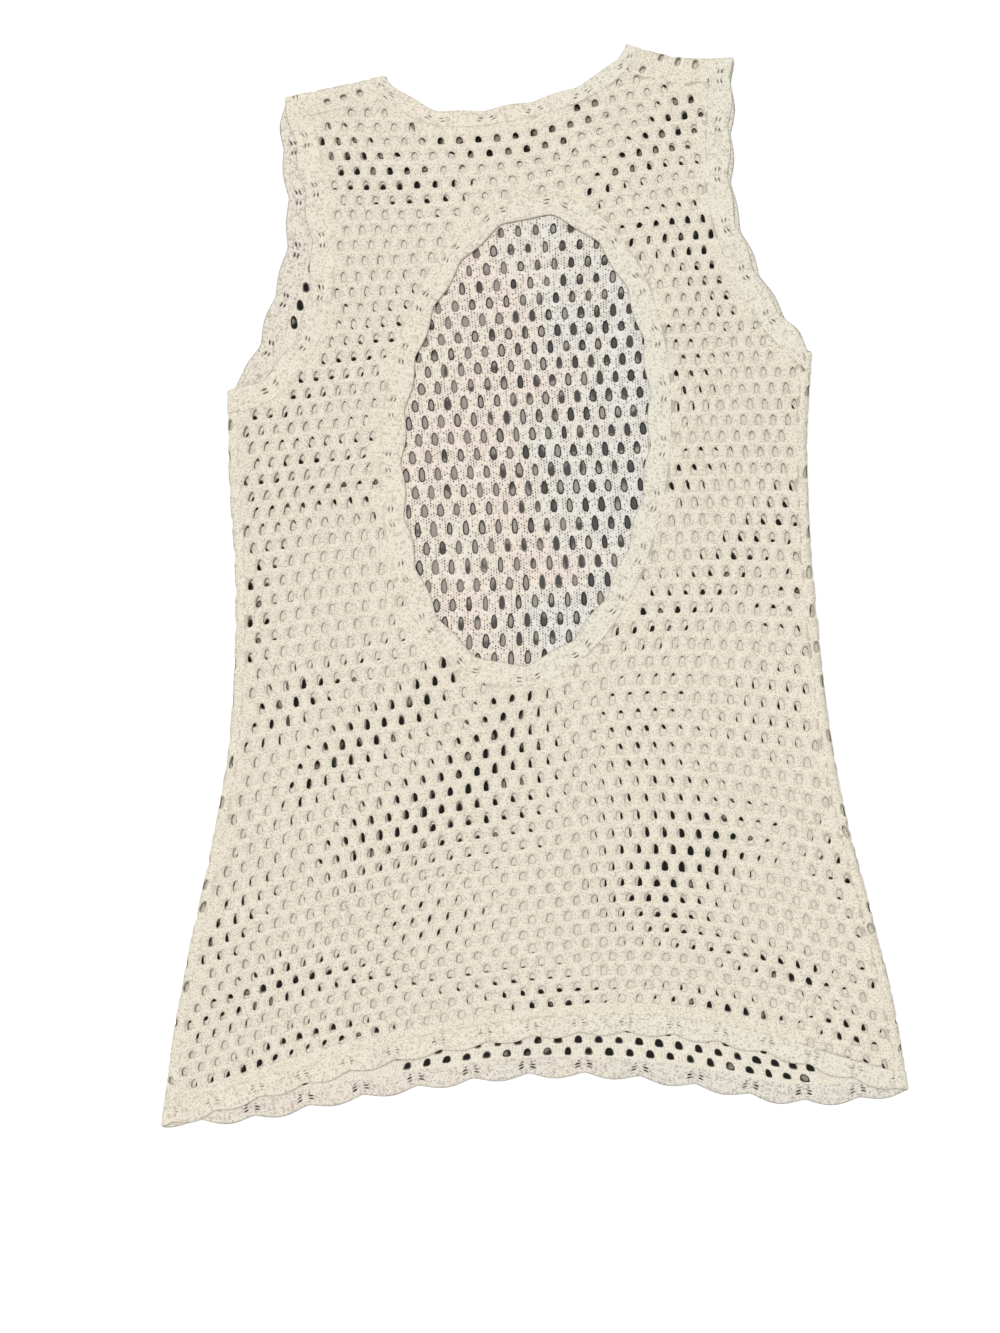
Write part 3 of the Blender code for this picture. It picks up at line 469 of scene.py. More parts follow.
def closed_wall(name, place, normal, half, single, faces, stitches, marks, materials):
    """One mesh from faces over the middle of a wall: thickened both ways and closed.

    Where single is set the two sides share one point, so the wall ends there in a rounded rim.
    stitches are each face's corners counted in stitches. marks are numbers of each point for the
    materials, which are those of the cloth's right side and of its wrong side.
    """
    count = len(place)
    under = np.where(single, np.arange(count), count + np.cumsum(~single) - 1)
    lower = place[~single] - normal[~single] * half[~single, None]
    upper = place + normal * np.where(single, 0, half)[:, None]
    groups = []                     # faces, their stitches and the number of their material
    for face, uv in zip(faces, stitches):
        groups += [(face, uv, 0), (under[face[:, ::-1]], uv[:, ::-1], 1)]
    walls, crisp = rim_walls(faces, stitches, single, under)
    groups += [(face, uv, 0) for face, uv in walls]
    mesh = bpy.data.meshes.new(name)
    points = np.concatenate([upper, lower])
    mesh.vertices.add(len(points))
    mesh.vertices.foreach_set("co", points.ravel())
    loops = np.concatenate([face.ravel() for face, uv, side in groups])
    mesh.loops.add(len(loops))
    mesh.loops.foreach_set("vertex_index", loops.astype(np.int32))
    corners = np.concatenate([np.full(len(face), face.shape[1]) for face, uv, side in groups])
    mesh.polygons.add(len(corners))
    mesh.polygons.foreach_set("loop_start", (np.cumsum(corners) - corners).astype(np.int32))
    mesh.update(calc_edges=True)
    sides = np.concatenate([np.full(len(face), side) for face, uv, side in groups])
    mesh.polygons.foreach_set("material_index", sides.astype(np.int32))
    mesh.uv_layers.new(name="stitches").data.foreach_set(
        "uv", np.concatenate([uv.reshape(-1, 2) for face, uv, side in groups]).ravel())
    for mark, value in zip(MARKS, marks):
        data = mesh.attributes.new(mark, "FLOAT", "POINT").data
        data.foreach_set("value", np.concatenate([value, value[~single]]))
    mesh.shade_smooth()
    mesh.validate()
    crisp_edges(mesh, crisp)
    for material in materials:
        mesh.materials.append(material)
    return placed(name, mesh)


def crisp_edges(mesh, pairs):
    """Marks the edges between the given pairs of points as sharp."""
    ends = np.empty(len(mesh.edges) * 2, np.int32)
    mesh.edges.foreach_get("vertices", ends)
    ends = np.sort(ends.reshape(-1, 2).astype(np.int64), axis=1)
    pairs = np.sort(pairs, axis=1)
    count = len(mesh.vertices)
    sharp = np.isin(ends[:, 0] * count + ends[:, 1], pairs[:, 0] * count + pairs[:, 1])
    mesh.attributes.new("sharp_edge", "BOOLEAN", "EDGE").data.foreach_set("value", sharp)


# ---------------------------------------------------------------- nets
def blend_weights(position, count):
    """Weights of the neighbouring rows or columns of a table, smooth through all of them."""
    index = np.clip(np.floor(position).astype(int), 0, count - 2)
    t = position - index
    weights = np.zeros((len(position), count + 2))
    rows = np.arange(len(position))
    for step, weight in enumerate(((-t + 2 * t ** 2 - t ** 3) / 2,
                                   (2 - 5 * t ** 2 + 3 * t ** 3) / 2,
                                   (t + 4 * t ** 2 - 3 * t ** 3) / 2,
                                   (-t ** 2 + t ** 3) / 2)):
        weights[rows, index + step] += weight
    weights[:, 1] += 2 * weights[:, 0]
    weights[:, 2] -= weights[:, 0]
    weights[:, count] += 2 * weights[:, count + 1]
    weights[:, count - 1] -= weights[:, count + 1]
    return weights[:, 1:-1]


def net_place(net, column, course):
    """Plan points of places in a net, counted in columns and courses of holes."""
    courses = sorted(net, key=lambda row: row.number)
    step = courses[1].number - courses[0].number
    table = np.array([(row.across, row.up) for row in courses]) * MM
    by_course = blend_weights((course - courses[0].number) / step, len(courses))
    by_column = blend_weights((column - NET_COLUMNS[0]) / (NET_COLUMNS[1] - NET_COLUMNS[0]),
                              len(NET_COLUMNS))
    return np.einsum("nc,cak,nk->na", by_course, table, by_column)


ROW_STEPS = 6                   # points along the top and the bottom of a cell
SIDE_STEPS = 3                  # and up its sides
RIM_KEY = 4096                  # more than the rim points up a net, to number them by both places


def cell_rim():
    """Points round a cell, along its bottom, up its right side, back along its top and down."""
    shares, rises = np.arange(ROW_STEPS) / ROW_STEPS, np.arange(SIDE_STEPS) / SIDE_STEPS
    return np.array([(share - 0.5, -0.5) for share in shares]
                    + [(0.5, rise - 0.5) for rise in rises]
                    + [(0.5 - share, 0.5) for share in shares]
                    + [(-0.5, 0.5 - rise) for rise in rises])


CELL_RIM = cell_rim()
WALES = 6                       # columns of stitches to a column of holes
STITCH_COURSES = 6.5            # courses of stitches to a course of holes

# The holes of a net, in millimetres: a row for some of its courses, with the widths and the heights
# at three of its columns, and the width of a hole's top and bottom against its middle.
HoleRow = namedtuple("HoleRow", "number widths heights top bottom")
HOLE_COLUMNS = (-12, 0, 12)
BACK_HOLES = (
    HoleRow(-36, (4.7, 5.4, 5.0), (5.6, 5.4, 5.8), 0.60, 1.10),
    HoleRow(-23, (4.9, 5.6, 5.2), (6.2, 6.0, 6.4), 0.60, 1.10),
    HoleRow(-11, (4.5, 5.0, 4.8), (7.2, 7.2, 7.2), 0.48, 1.08),
    HoleRow(3, (4.5, 4.6, 4.7), (7.6, 7.6, 7.8), 0.46, 1.08),
    HoleRow(18, (4.2, 4.7, 4.0), (7.3, 6.0, 6.8), 0.40, 1.08),
    HoleRow(27, (4.3, 5.2, 4.2), (6.9, 5.0, 6.3), 0.55, 1.10),
    HoleRow(36, (4.8, 5.2, 4.4), (5.0, 4.6, 5.4), 0.65, 1.10),
)
FRONT_HOLES = (
    HoleRow(-27, (5.9, 5.9, 5.9), (5.5, 5.5, 5.5), 0.62, 1.15),
    HoleRow(-23, (5.2, 5.4, 5.2), (6.6, 6.2, 6.6), 0.60, 1.05),
    HoleRow(-14, (5.2, 5.0, 5.2), (9.6, 9.4, 9.6), 0.56, 0.92),
    HoleRow(-6, (5.2, 5.0, 5.2), (10.2, 10.2, 10.2), 0.56, 0.92),
    HoleRow(6, (5.2, 5.1, 5.2), (9.8, 9.8, 9.8), 0.56, 0.92),
    HoleRow(20, (5.6, 5.1, 5.0), (8.4, 7.7, 7.4), 0.58, 0.92),
    HoleRow(30, (5.7, 4.8, 4.9), (7.2, 6.4, 6.4), 0.62, 0.92),
    HoleRow(31, (6.6, 5.4, 4.6), (6.2, 6.2, 7.4), 0.80, 0.90),
)
HOLE_CORNER = 0.72              # power that rounds a hole; less is squarer
HOLE_TAPER = 1.4                # power with which a hole takes on the width of its top and bottom
HOLE_SPREAD = 0.07              # of a hole's sizes, from one hole to the next
HOLE_LIMITS = (0.8, 1.2)        # of that spread
BACK_LIP, FRONT_LIP = 0.2 * MM, 0.95 * MM      # how far the thin rim of a hole reaches into it
NET_WALL = 1.1 * MM             # the nets are thinner than their edgings
RIM_ROW_HALF = 0.88             # of half the wall, on the cell's rim
WHOLE_CELL_REACH = 12 * MM      # cells whose middle lies further outside are left out
HOLE_MARGIN = 3.4 * MM          # a hole nearer to a seam than this is knitted shut
RIM_SHADE = (0.0, 1.0)          # how dark the painted shade on the rim of a hole is, from one hole to the next
SHARED_HALF = 1e-6              # a wall thinner than this share has one point for both sides
SEAM_LINE = 0.05 * MM           # a point this near to the back's outline is on a seam
SEAM_MARKS = (0.5, 0.5)         # how strong and how dark the seams of the back are


def hole_loops(net, rows, centres, size, lip):
    """The loop of every hole, from the middle of its cell and in shares of the cell."""
    x, y = centres[:, 0], centres[:, 1]
    numbers = [row.number for row in rows]

    def measure(field):
        by_column = np.stack([np.interp(y, numbers, [getattr(row, field)[place] for row in rows])
                              for place in range(len(HOLE_COLUMNS))], 1)
        position = np.interp(x, HOLE_COLUMNS, range(len(HOLE_COLUMNS)))
        low = np.minimum(position.astype(int), len(HOLE_COLUMNS) - 2)
        share = position - low
        each = np.arange(len(x))
        return (by_column[each, low] * (1 - share) + by_column[each, low + 1] * share) * MM

    cell_width = np.linalg.norm(net_place(net, x + 0.5, y) - net_place(net, x - 0.5, y), axis=1)
    cell_height = np.linalg.norm(net_place(net, x, y + 0.5) - net_place(net, x, y - 0.5), axis=1)
    half_width = (measure("widths") / 2 * size[:, 0] - lip) / cell_width
    half_height = (measure("heights") / 2 * size[:, 1] - lip) / cell_height
    top = np.interp(y, numbers, [row.top for row in rows])[:, None]
    bottom = np.interp(y, numbers, [row.bottom for row in rows])[:, None]
    angle = np.arctan2(CELL_RIM[:, 1], CELL_RIM[:, 0])
    across = np.sign(np.cos(angle)) * np.abs(np.cos(angle)) ** HOLE_CORNER
    up = np.sign(np.sin(angle)) * np.abs(np.sin(angle)) ** HOLE_CORNER
    width = 1 + np.where(up > 0, top - 1, bottom - 1) * np.abs(up) ** HOLE_TAPER
    return np.stack([across * width * half_width[:, None],
                     up * half_height[:, None]], -1)


def following(index):
    """The next point round each loop."""
    return np.roll(index, -1, axis=1)


def net_mesh(net, rows, lip, seed, band, depth_at):
    """The net of a band: points in columns and courses, faces, half the thickness and two marks of
    each point, and the area of its cells."""
    rng = np.random.default_rng(seed)
    centres = np.array([(column + (course % 2) * 0.5, course) for course in range(*band)
                        for column in range(NET_COLUMNS[0], NET_COLUMNS[-1] + 1)], float)
    size = np.clip(rng.normal(1, HOLE_SPREAD, (len(centres), 2)), *HOLE_LIMITS)
    depth = depth_at(net_place(net, centres[:, 0], centres[:, 1]))
    beside, above = [net_place(net, centres[:, 0] + right, centres[:, 1] + up)
                     - net_place(net, centres[:, 0] - right, centres[:, 1] - up)
                     for right, up in ((0.5, 0), (0, 0.5))]
    cells = np.abs(beside[:, 0] * above[:, 1] - beside[:, 1] * above[:, 0])
    area = cells[depth > 0].sum()
    near = depth > -WHOLE_CELL_REACH
    centres, size, shut = centres[near], size[near], depth[near] < HOLE_MARGIN
    rim = centres[:, None] + CELL_RIM
    key = np.rint(rim * ROW_STEPS).astype(int)
    unused, first, shared = np.unique(key[..., 0] * RIM_KEY + key[..., 1], return_index=True,
                                      return_inverse=True)
    shared = shared.reshape(rim.shape[:2])
    rim_points = rim.reshape(-1, 2)[first]
    loop = centres[:, None] + hole_loops(net, rows, centres, size, lip)
    middle = centres[:, None] + hole_loops(net, rows, centres, size, 0)
    count, ring = len(centres), len(CELL_RIM)
    middle_index = len(rim_points) + np.arange(count * ring).reshape(count, ring)
    loop_index = middle_index + count * ring
    centre_index = loop_index[-1, -1] + 1 + np.arange(shut.sum())
    points = np.concatenate([rim_points, middle.reshape(-1, 2), loop.reshape(-1, 2),
                             centres[shut]])
    quads = [np.stack([outer, following(outer), following(inner), inner], -1).reshape(-1, 4)
             for outer, inner in ((shared, middle_index), (middle_index, loop_index))]
    inner = loop_index[shut]
    lids = np.stack([inner, following(inner),
                     np.broadcast_to(centre_index[:, None], inner.shape)], -1).reshape(-1, 3)
    open_rim = np.repeat(~shut, ring)
    # the rim of each open hole takes painted shade of a random darkness
    shade = np.repeat(rng.uniform(*RIM_SHADE, count), ring)
    half = np.concatenate([np.full(len(rim_points), RIM_ROW_HALF), np.ones(count * ring),
                           np.where(open_rim, 0.0, 1.0), np.ones(shut.sum())])
    on_hole = np.concatenate([np.zeros(len(rim_points) + count * ring), open_rim,
                              np.zeros(shut.sum())])
    shade = np.concatenate([np.zeros(len(rim_points)), shade, shade, np.zeros(shut.sum())])
    return points, [np.concatenate(quads), lids], half, on_hole, shade, area


def clipped(points, groups, depth, values):
    """Faces cut along depth 0, kept where it is more; values are more columns for each point."""
    new_points, new_values, made = [], [], {}

    def crossing(a, b):
        key = (min(a, b), max(a, b))
        if key not in made:
            share = depth[key[0]] / (depth[key[0]] - depth[key[1]])
            made[key] = len(points) + len(new_points)
            new_points.append(points[key[0]] + (points[key[1]] - points[key[0]]) * share)
            new_values.append(values[key[0]] + (values[key[1]] - values[key[0]]) * share)
        return made[key]

    whole, pieces = [], {3: [], 4: [], 5: []}
    for faces in groups:
        keep = (depth[faces] >= 0).all(1)
        whole.append(faces[keep])
        for face in faces[(depth[faces] >= 0).any(1) & ~keep].tolist():
            corners = []
            for a, b in zip(face, face[1:] + face[:1]):
                if depth[a] >= 0:
                    corners.append(a)
                if (depth[a] >= 0) != (depth[b] >= 0):
                    corners.append(crossing(a, b))
            if len(corners) in pieces:
                pieces[len(corners)].append(corners)
    if new_points:
        points = np.concatenate([points, new_points])
        values = np.concatenate([values, new_values])
    cut = [np.array(group, int) for group in pieces.values() if group]
    return points, values, [group for group in whole if len(group)] + cut


def compact(faces, *columns):
    """The points that the faces use, and the faces on them."""
    used = np.unique(np.concatenate([face.ravel() for face in faces]))
    number = np.full(len(columns[0]), -1)
    number[used] = np.arange(len(used))
    return [number[face] for face in faces], *[column[used] for column in columns]


def net_piece(name, net, rows, lip, seed, band, outline, opening, wraps, materials):
    """A band of a net's courses, cut to its outline: the piece, its flat size and its area."""
    def depth_at(plan):
        depth = depth_inside(plan, outline) + SEAM_LAP
        if opening is None:
            return depth
        return np.minimum(depth, SEAM_LAP - depth_inside(plan, opening))

    places, faces, half, on_hole, shade, area = net_mesh(net, rows, lip, seed, band, depth_at)
    plan = net_place(net, places[:, 0], places[:, 1])
    values = np.concatenate([places, np.stack([half, on_hole, shade], 1)], 1)
    plan, values, faces = clipped(plan, faces, depth_at(plan), values)
    faces, plan, values = compact(faces, plan, values)
    flat = np.ptp(plan, axis=0)
    # how far inside the cut-out; the painted gap shade and the painted light tints are full there
    cutout_share = ease(depth_inside(plan, cutout_sewn(whole_turn(90))) / CUTOUT_TRIM.width)
    if wraps:
        plan, outward, turn = round_the_folds(plan)
        faces = [face[:, ::-1] for face in faces]   # its outer face looks down
    else:
        outward, turn = np.zeros_like(plan), np.ones(len(plan))
        seam = depth_at(plan) < SEAM_LINE
        values[seam, 3:5] = SEAM_MARKS
    place, normal = on_cloth(plan, outward, turn)
    stitches = values[:, :2] * (WALES, STITCH_COURSES)
    half = values[:, 2] * NET_WALL / 2
    piece = closed_wall(name, place, normal, half, values[:, 2] < SHARED_HALF, faces,
                        [stitches[face] for face in faces],
                        (values[:, 3], values[:, 4], cutout_share), materials)
    return piece, flat, min(area, flat[0] * flat[1])


def past_fold(plan, side, fold):
    """Distance to a fold, the direction outward from it, and how far out each point lies."""
    gap, nearest, number = to_polyline(plan, fold.samples)
    square = -OUTWARD[side] * turned_left(unit(np.diff(fold.samples, axis=0)))[number]
    return gap, square, ((plan - nearest) * square).sum(1)


def round_the_folds(plan):
    """Plan points of the laid-out front brought round the sides and the shoulders."""
    plan, turn = plan.copy(), np.zeros(len(plan))
    outward = np.zeros_like(plan)
    for side in ("left", "right"):
        for fold in (SIDE_FOLDS[side], SHOULDER_FOLDS[side]):
            gap, square, out = past_fold(plan, side, fold)
            beyond = (out > 0) & (gap < FOLD_ARC + 2 * SHOULDER_LAP) & (turn == 0)
            outward[beyond] = square[beyond]
            turn[beyond] = np.minimum(out[beyond] / FOLD_ARC, 1)
            lap = np.maximum(out[beyond] - FOLD_ARC, 0)
            plan[beyond] -= square[beyond] * (out[beyond] + lap)[:, None]
    return plan, outward, turn


# ---------------------------------------------------------------- outlines of the nets
SEAM_LAP = 0.5 * MM             # how far a net reaches under its edgings
OUTLINE_STEPS = 60


def outward_of(side, line, share):
    return -OUTWARD[side] * turned_left(line.direction(share))


def beside_fold(side, distance):
    """A line this far out from a side fold, between the sewn lines of the hem and the armhole."""
    fold = SIDE_FOLDS[side]
    share = np.linspace(FRONT_HEM_TRIM.width / fold.length, 1 - ARMHOLE_TRIM.width / fold.length,
                        OUTLINE_STEPS)
    return fold.at(share) + outward_of(side, fold, share) * distance


def shoulder_shares(side):
    """The shares of the armhole's and the neck's line at which the shoulder seam ends."""
    neck = NECK_BACK.share_of(SHOULDER_LAP)
    return 1 - ARMHOLES_BACK[side].share_of(SHOULDER_LAP), neck if side == "left" else 1 - neck


def shoulder_seam(side):
    arm_share, neck_share = shoulder_shares(side)
    start, end = ARMHOLES_BACK[side].sewn(arm_share), NECK_BACK.sewn(neck_share)
    sag = SHOULDERS[side].sag * MM
    share = np.linspace(0, 1, OUTLINE_STEPS)[:, None]
    return start + (end - start) * share - np.array((0, sag)) * 4 * share * (1 - share)


def sewn_between(edging, low, high):
    return edging.sewn(np.linspace(low, high, OUTLINE_STEPS))


def shoulder_strip(side):
    """The edge of the front's strip over a shoulder, laid out flat: armhole, seam and neck."""
    arm_share, neck_share = shoulder_shares(side)
    plan = np.vstack([sewn_between(ARMHOLES_BACK[side], 1, arm_share), shoulder_seam(side),
                      sewn_between(NECK_BACK, neck_share, 0 if side == "left" else 1)])
    gap, square, out = past_fold(plan, side, SHOULDER_FOLDS[side])
    return plan + square * (FOLD_ARC - 2 * out[:, None])


def closed_outline(hem_line, upward, neck_line):
    """The hem from the left, the right side upward, the neck from the right and the left side."""
    return np.vstack([hem_line, upward("right"), neck_line, upward("left")[::-1]])


def back_outline():
    def upward(side):
        arm = ARMHOLES_BACK[side]
        return np.vstack([beside_fold(side, -SIDE_LAP),
                          sewn_between(arm, arm.share_of(SIDE_LAP), shoulder_shares(side)[0]),
                          shoulder_seam(side)])

    lap = HEM_BACK.share_of(SIDE_LAP)
    neck = sewn_between(NECK_BACK, shoulder_shares("right")[1], shoulder_shares("left")[1])
    return closed_outline(sewn_between(HEM_BACK, lap, 1 - lap), upward, neck)


def front_outline():
    """The front laid out flat, with the strips that go round its folds."""
    def upward(side):
        return np.vstack([beside_fold(side, FOLD_ARC + SIDE_LAP),
                          sewn_between(ARMHOLES_FRONT[side], 0, 1), shoulder_strip(side)])

    return closed_outline(sewn_between(HEM_FRONT, 0, 1), upward, sewn_between(NECK_FRONT, 1, 0))


# ---------------------------------------------------------------- edgings
# A run of an edging: its sewn and its free line, each from a share of the run from 0 to 1, the way
# out from the fold that it goes round, the turn at both ends (0 is the front, 1 the back), and its
# length.
Run = namedtuple("Run", "sewn free outward turns length")
SCALLOP_STEPS = 24              # sections to a scallop
ACROSS_STEPS = 12               # points across an edging
OVAL_STEPS = 720                # over which the oval's length is measured
SAME = 1e-9                     # metres within which two places are the same
STITCH_WIDTH = 2.2 * MM
STITCH_HEIGHT = 1.8 * MM
EDGE_BEAD = 0.18 * MM           # the free edge's cast-off row is a little thicker
BEAD_PLACE, BEAD_REACH = 0.93, 0.07            # shares of the way across
SLIT_SHADE, EDGE_SHADE = 1.0, 0.85             # how strong the painted shade in slits and the painted shadow line along free edges are


def flat_run(edging, start, end, layer):
    def between(share):
        return start + (end - start) * share
    return Run(lambda share: edging.sewn(between(share)), lambda share: edging.free(between(share)),
               np.zeros(2), (layer, layer), abs(end - start) * edging.free_line.length)


def fold_run(edging, end, outward, upward):
    """Round a fold at an end of an edging, where all sections lie on one line of the plan."""
    def still(point):
        return lambda share: np.broadcast_to(point, (len(share), 2))
    return Run(still(edging.sewn(end)), still(edging.free(end)), outward,
               (0, 1) if upward else (1, 0), FOLD_ARC)


def oval_run():
    angle = np.linspace(0, 2 * math.pi, OVAL_STEPS + 1)
    around = np.linalg.norm(np.diff(cutout_free(angle), axis=0), axis=1)
    travelled = np.concatenate([[0.0], np.cumsum(around)])

    def angle_at(share):
        return np.interp(share * travelled[-1], travelled, angle)
    return Run(lambda share: cutout_sewn(angle_at(share)),
               lambda share: cutout_free(angle_at(share)), np.zeros(2), (1, 1), travelled[-1])


def scallop(distance, pitch, depth):
    """Height of the scalloped edge over its mean line: round lobes with narrow dips."""
    lobe = np.abs(np.sin(math.pi * distance / pitch)) ** SCALLOP_ROUNDNESS
    return depth * (lobe - SCALLOP_MEAN)


# Slits beside each dip between two scallops: how far from the dip they start and how long they are,
# in sections, the point across the edging that they lie on (0 is the sewn edge), how far they
# lean, and half their width.
Slit = namedtuple("Slit", "start length across lean half_width")
HEM_FRONT_SLITS = (Slit(1, 3, 7, 0.42, 0.40), Slit(1, 3, 5, 0.36, 0.34), Slit(1, 2, 3, 0.2, 0.26))
HEM_BACK_SLITS = (Slit(1, 2, 7, 0.26, 0.16), Slit(1, 3, 5, 0.22, 0.20), Slit(1, 2, 3, 0.2, 0.14))
CUTOUT_SLITS = (Slit(2, 3, 3, 0.34, 0.18), Slit(2, 3, 5, 0.34, 0.15))
ARMHOLE_SLITS = (Slit(1, 3, 7, 0.30, 0.25), Slit(1, 3, 5, 0.26, 0.20))
NECK_SLITS = (Slit(1, 3, 6, 0.30, 0.20), Slit(2, 3, 4, 0.30, 0.18))
SLIT_SPREAD = (0.35, 1.25)      # of a slit's width, from one to the next


def sections(runs, trim):
    """Sewn and free points, outward directions and turns of all sections, and the pitch."""
    total = sum(run.length for run in runs)
    pitch = total / round(total / trim.scallop_length)
    steps = round(total / pitch) * SCALLOP_STEPS
    distance = np.linspace(0, total, steps + 1)
    sewn, free = np.zeros((steps + 1, 2)), np.zeros((steps + 1, 2))
    outward, turn = np.zeros((steps + 1, 2)), np.zeros(steps + 1)
    start = 0.0
    for number, run in enumerate(runs):
        last = number == len(runs) - 1
        end = start + run.length + (SAME if last else -SAME)
        here = (distance >= start - SAME) & (distance < end)
        share = np.clip((distance[here] - start) / run.length, 0, 1)
        sewn[here], free[here] = run.sewn(share), run.free(share)
        outward[here] = run.outward
        turn[here] = run.turns[0] + (run.turns[1] - run.turns[0]) * share
        start += run.length
    return sewn, free, outward, turn, distance, pitch


def slit_points(slits, dips, count, closed, rng):
    """For each slit its sections, its point across, their leans and its half width."""
    found = []
    for dip in dips:
        for slit in slits:
            for side in (-1, 1):
                wide = slit.half_width * rng.uniform(*SLIT_SPREAD)
                steps = np.arange(slit.length + 1)
                index = dip + side * (slit.start + steps)
                index = index % count if closed else index
                if (index >= 0).all() and (index < count).all():
                    lean = slit.lean * (2 * steps / slit.length - 1)
                    found.append((index, slit.across, lean, wide))
    return found


def slit_grid(slits, dips, count, closed):
    """The slits in a strip's grid of points: the lean of each point and half the width by which it
    is split, its numbers in the faces above and below, and the places of those that are split."""
    columns = ACROSS_STEPS + 1
    lean, wide = np.zeros((count, columns)), np.zeros((count, columns))
    above = np.arange(count * columns).reshape(count, columns)
    below = above.copy()
    split = []
    rng = np.random.default_rng(count)
    for index, across, leans, half_width in slit_points(slits, dips, count, closed, rng):
        for near, share in ((-1, 0.5), (0, 1.0), (1, 0.5)):
            lean[index, across + near] += leans * share
        for section in index[1:-1]:
            above[section, across] = count * columns + len(split)
            wide[section, across] = half_width
            split.append((section, across))
    return lean, wide, above, below, np.array(split).T


def strip_faces(above, below, trim, step, count, closed):
    """The faces between the sections of a strip, and their corners counted in stitches."""
    i = np.arange(count if closed else count - 1)
    after = (i + 1) % count
    j = np.arange(ACROSS_STEPS)
    face = np.stack([above[i][:, j], above[after][:, j], below[after][:, j + 1],
                     below[i][:, j + 1]], -1).reshape(-1, 4)
    length = np.stack([i, i + 1, i + 1, i], -1)[:, None, :] * (step / STITCH_WIDTH)
    height = np.stack([j, j, j + 1, j + 1], -1)[None] * (trim.width / ACROSS_STEPS / STITCH_HEIGHT)
    return face, np.stack(np.broadcast_arrays(length, height), -1).reshape(-1, 4, 2)


def strip(node, runs, trim, slits, closed, materials):
    """An edging along its runs, for its node: the piece, its flat size and its area."""
    sewn, free, outward, turn, distance, pitch = sections(runs, trim)
    if closed:
        sewn, free, outward, turn = sewn[:-1], free[:-1], outward[:-1], turn[:-1]
    count = len(sewn)
    reach = scallop(distance[:count] - FIRST_DIP[node], pitch, trim.scallop_depth)
    free = free + unit(free - sewn) * reach[:, None]
    dips = np.arange(round(FIRST_DIP[node] / distance[1]) - SCALLOP_STEPS, count + SCALLOP_STEPS,
                     SCALLOP_STEPS)
    if closed:
        dips = dips[(dips >= 0) & (dips < count)]
    lean, wide, above, below, split = slit_grid(slits, dips, count, closed)
    at = np.arange(ACROSS_STEPS + 1) + lean
    row = np.concatenate([np.repeat(np.arange(count), ACROSS_STEPS + 1), split[0]])
    share = np.concatenate([(at - wide).ravel(), (at + wide)[tuple(split)]]) / ACROSS_STEPS
    rim = np.concatenate([(wide > 0).ravel(), np.ones(split.shape[1], bool)])
    plan = sewn[row] + (free - sewn)[row] * share[:, None]
    place, normal = on_cloth(plan, outward[row], turn[row])
    edge = np.isclose(share, 1.0)
    bead = np.exp(-((share - BEAD_PLACE) / BEAD_REACH) ** 2)
    half = WALL / 2 + (FREE_EDGE_WALL - WALL) / 2 * ease(share) + EDGE_BEAD * bead
    single = rim | edge
    half[single] = 0
    face, uv = strip_faces(above, below, trim, distance[1], count, closed)
    cross = np.cross(place[face[:, 1]] - place[face[:, 0]], place[face[:, 3]] - place[face[:, 0]])
    if (cross * normal[face].mean(1)).sum() < 0:
        face, uv = face[:, ::-1], uv[:, ::-1]
    # painted shade in the slits and a painted shadow line along the free edge
    shade = np.where(rim, SLIT_SHADE, np.where(edge, EDGE_SHADE, 0.0))
    full = np.ones(len(shade))
    piece = closed_wall(node + "_knit", place, normal, half, single, [face], [uv],
                        (shade, full, full), materials)
    return piece, (distance[-1], trim.width), distance[-1] * trim.width


def ring_runs(back, front, out_at_end, out_at_start):
    """Along the back, round a fold, along the front and round the fold where it started."""
    return [flat_run(back, 0, 1, 1), fold_run(back, 1, out_at_end, False),
            flat_run(front, 1, 0, 0), fold_run(back, 0, out_at_start, True)]


def cutout_edging(materials):
    return strip("cutout_edging", [oval_run()], CUTOUT_TRIM, CUTOUT_SLITS, True, materials)


def armhole_edging(side, materials):
    runs = ring_runs(ARMHOLES_BACK[side], ARMHOLES_FRONT[side],
                     outward_of(side, SHOULDER_FOLDS[side], 0),
                     outward_of(side, SIDE_FOLDS[side], 1))
    return strip("armhole_edging_" + side, runs, ARMHOLE_TRIM, ARMHOLE_SLITS, True, materials)


def neck_edging(materials):
    runs = ring_runs(NECK_BACK, NECK_FRONT, outward_of("right", SHOULDER_FOLDS["right"], 1),
                     outward_of("left", SHOULDER_FOLDS["left"], 1))
    return strip("neck_edging", runs, NECK_TRIM, NECK_SLITS, True, materials)


def hem_edging_back(materials):
    lap = HEM_BACK.share_of(SIDE_LAP)
    return strip("hem_edging_back", [flat_run(HEM_BACK, lap, 1 - lap, 1)], BACK_HEM_TRIM,
                 HEM_BACK_SLITS, False, materials)


def hem_edging_front(materials):
    lap = HEM_BACK.share_of(SIDE_LAP)
    runs = [flat_run(HEM_BACK, lap, 0, 1),
            fold_run(HEM_BACK, 0, outward_of("left", SIDE_FOLDS["left"], 0), False),
            flat_run(HEM_FRONT, 0, 1, 0),
            fold_run(HEM_BACK, 1, outward_of("right", SIDE_FOLDS["right"], 0), True),
            flat_run(HEM_BACK, 1, 1 - lap, 1)]
    return strip("hem_edging_front", runs, FRONT_HEM_TRIM, HEM_FRONT_SLITS, False, materials)


# ---------------------------------------------------------------- materials
def join(value, socket):
    """Puts a value, a plain number or a plain colour into a socket."""
    if isinstance(value, Value):
        value.tree.links.new(value.socket, socket)
    else:
        socket.default_value = value


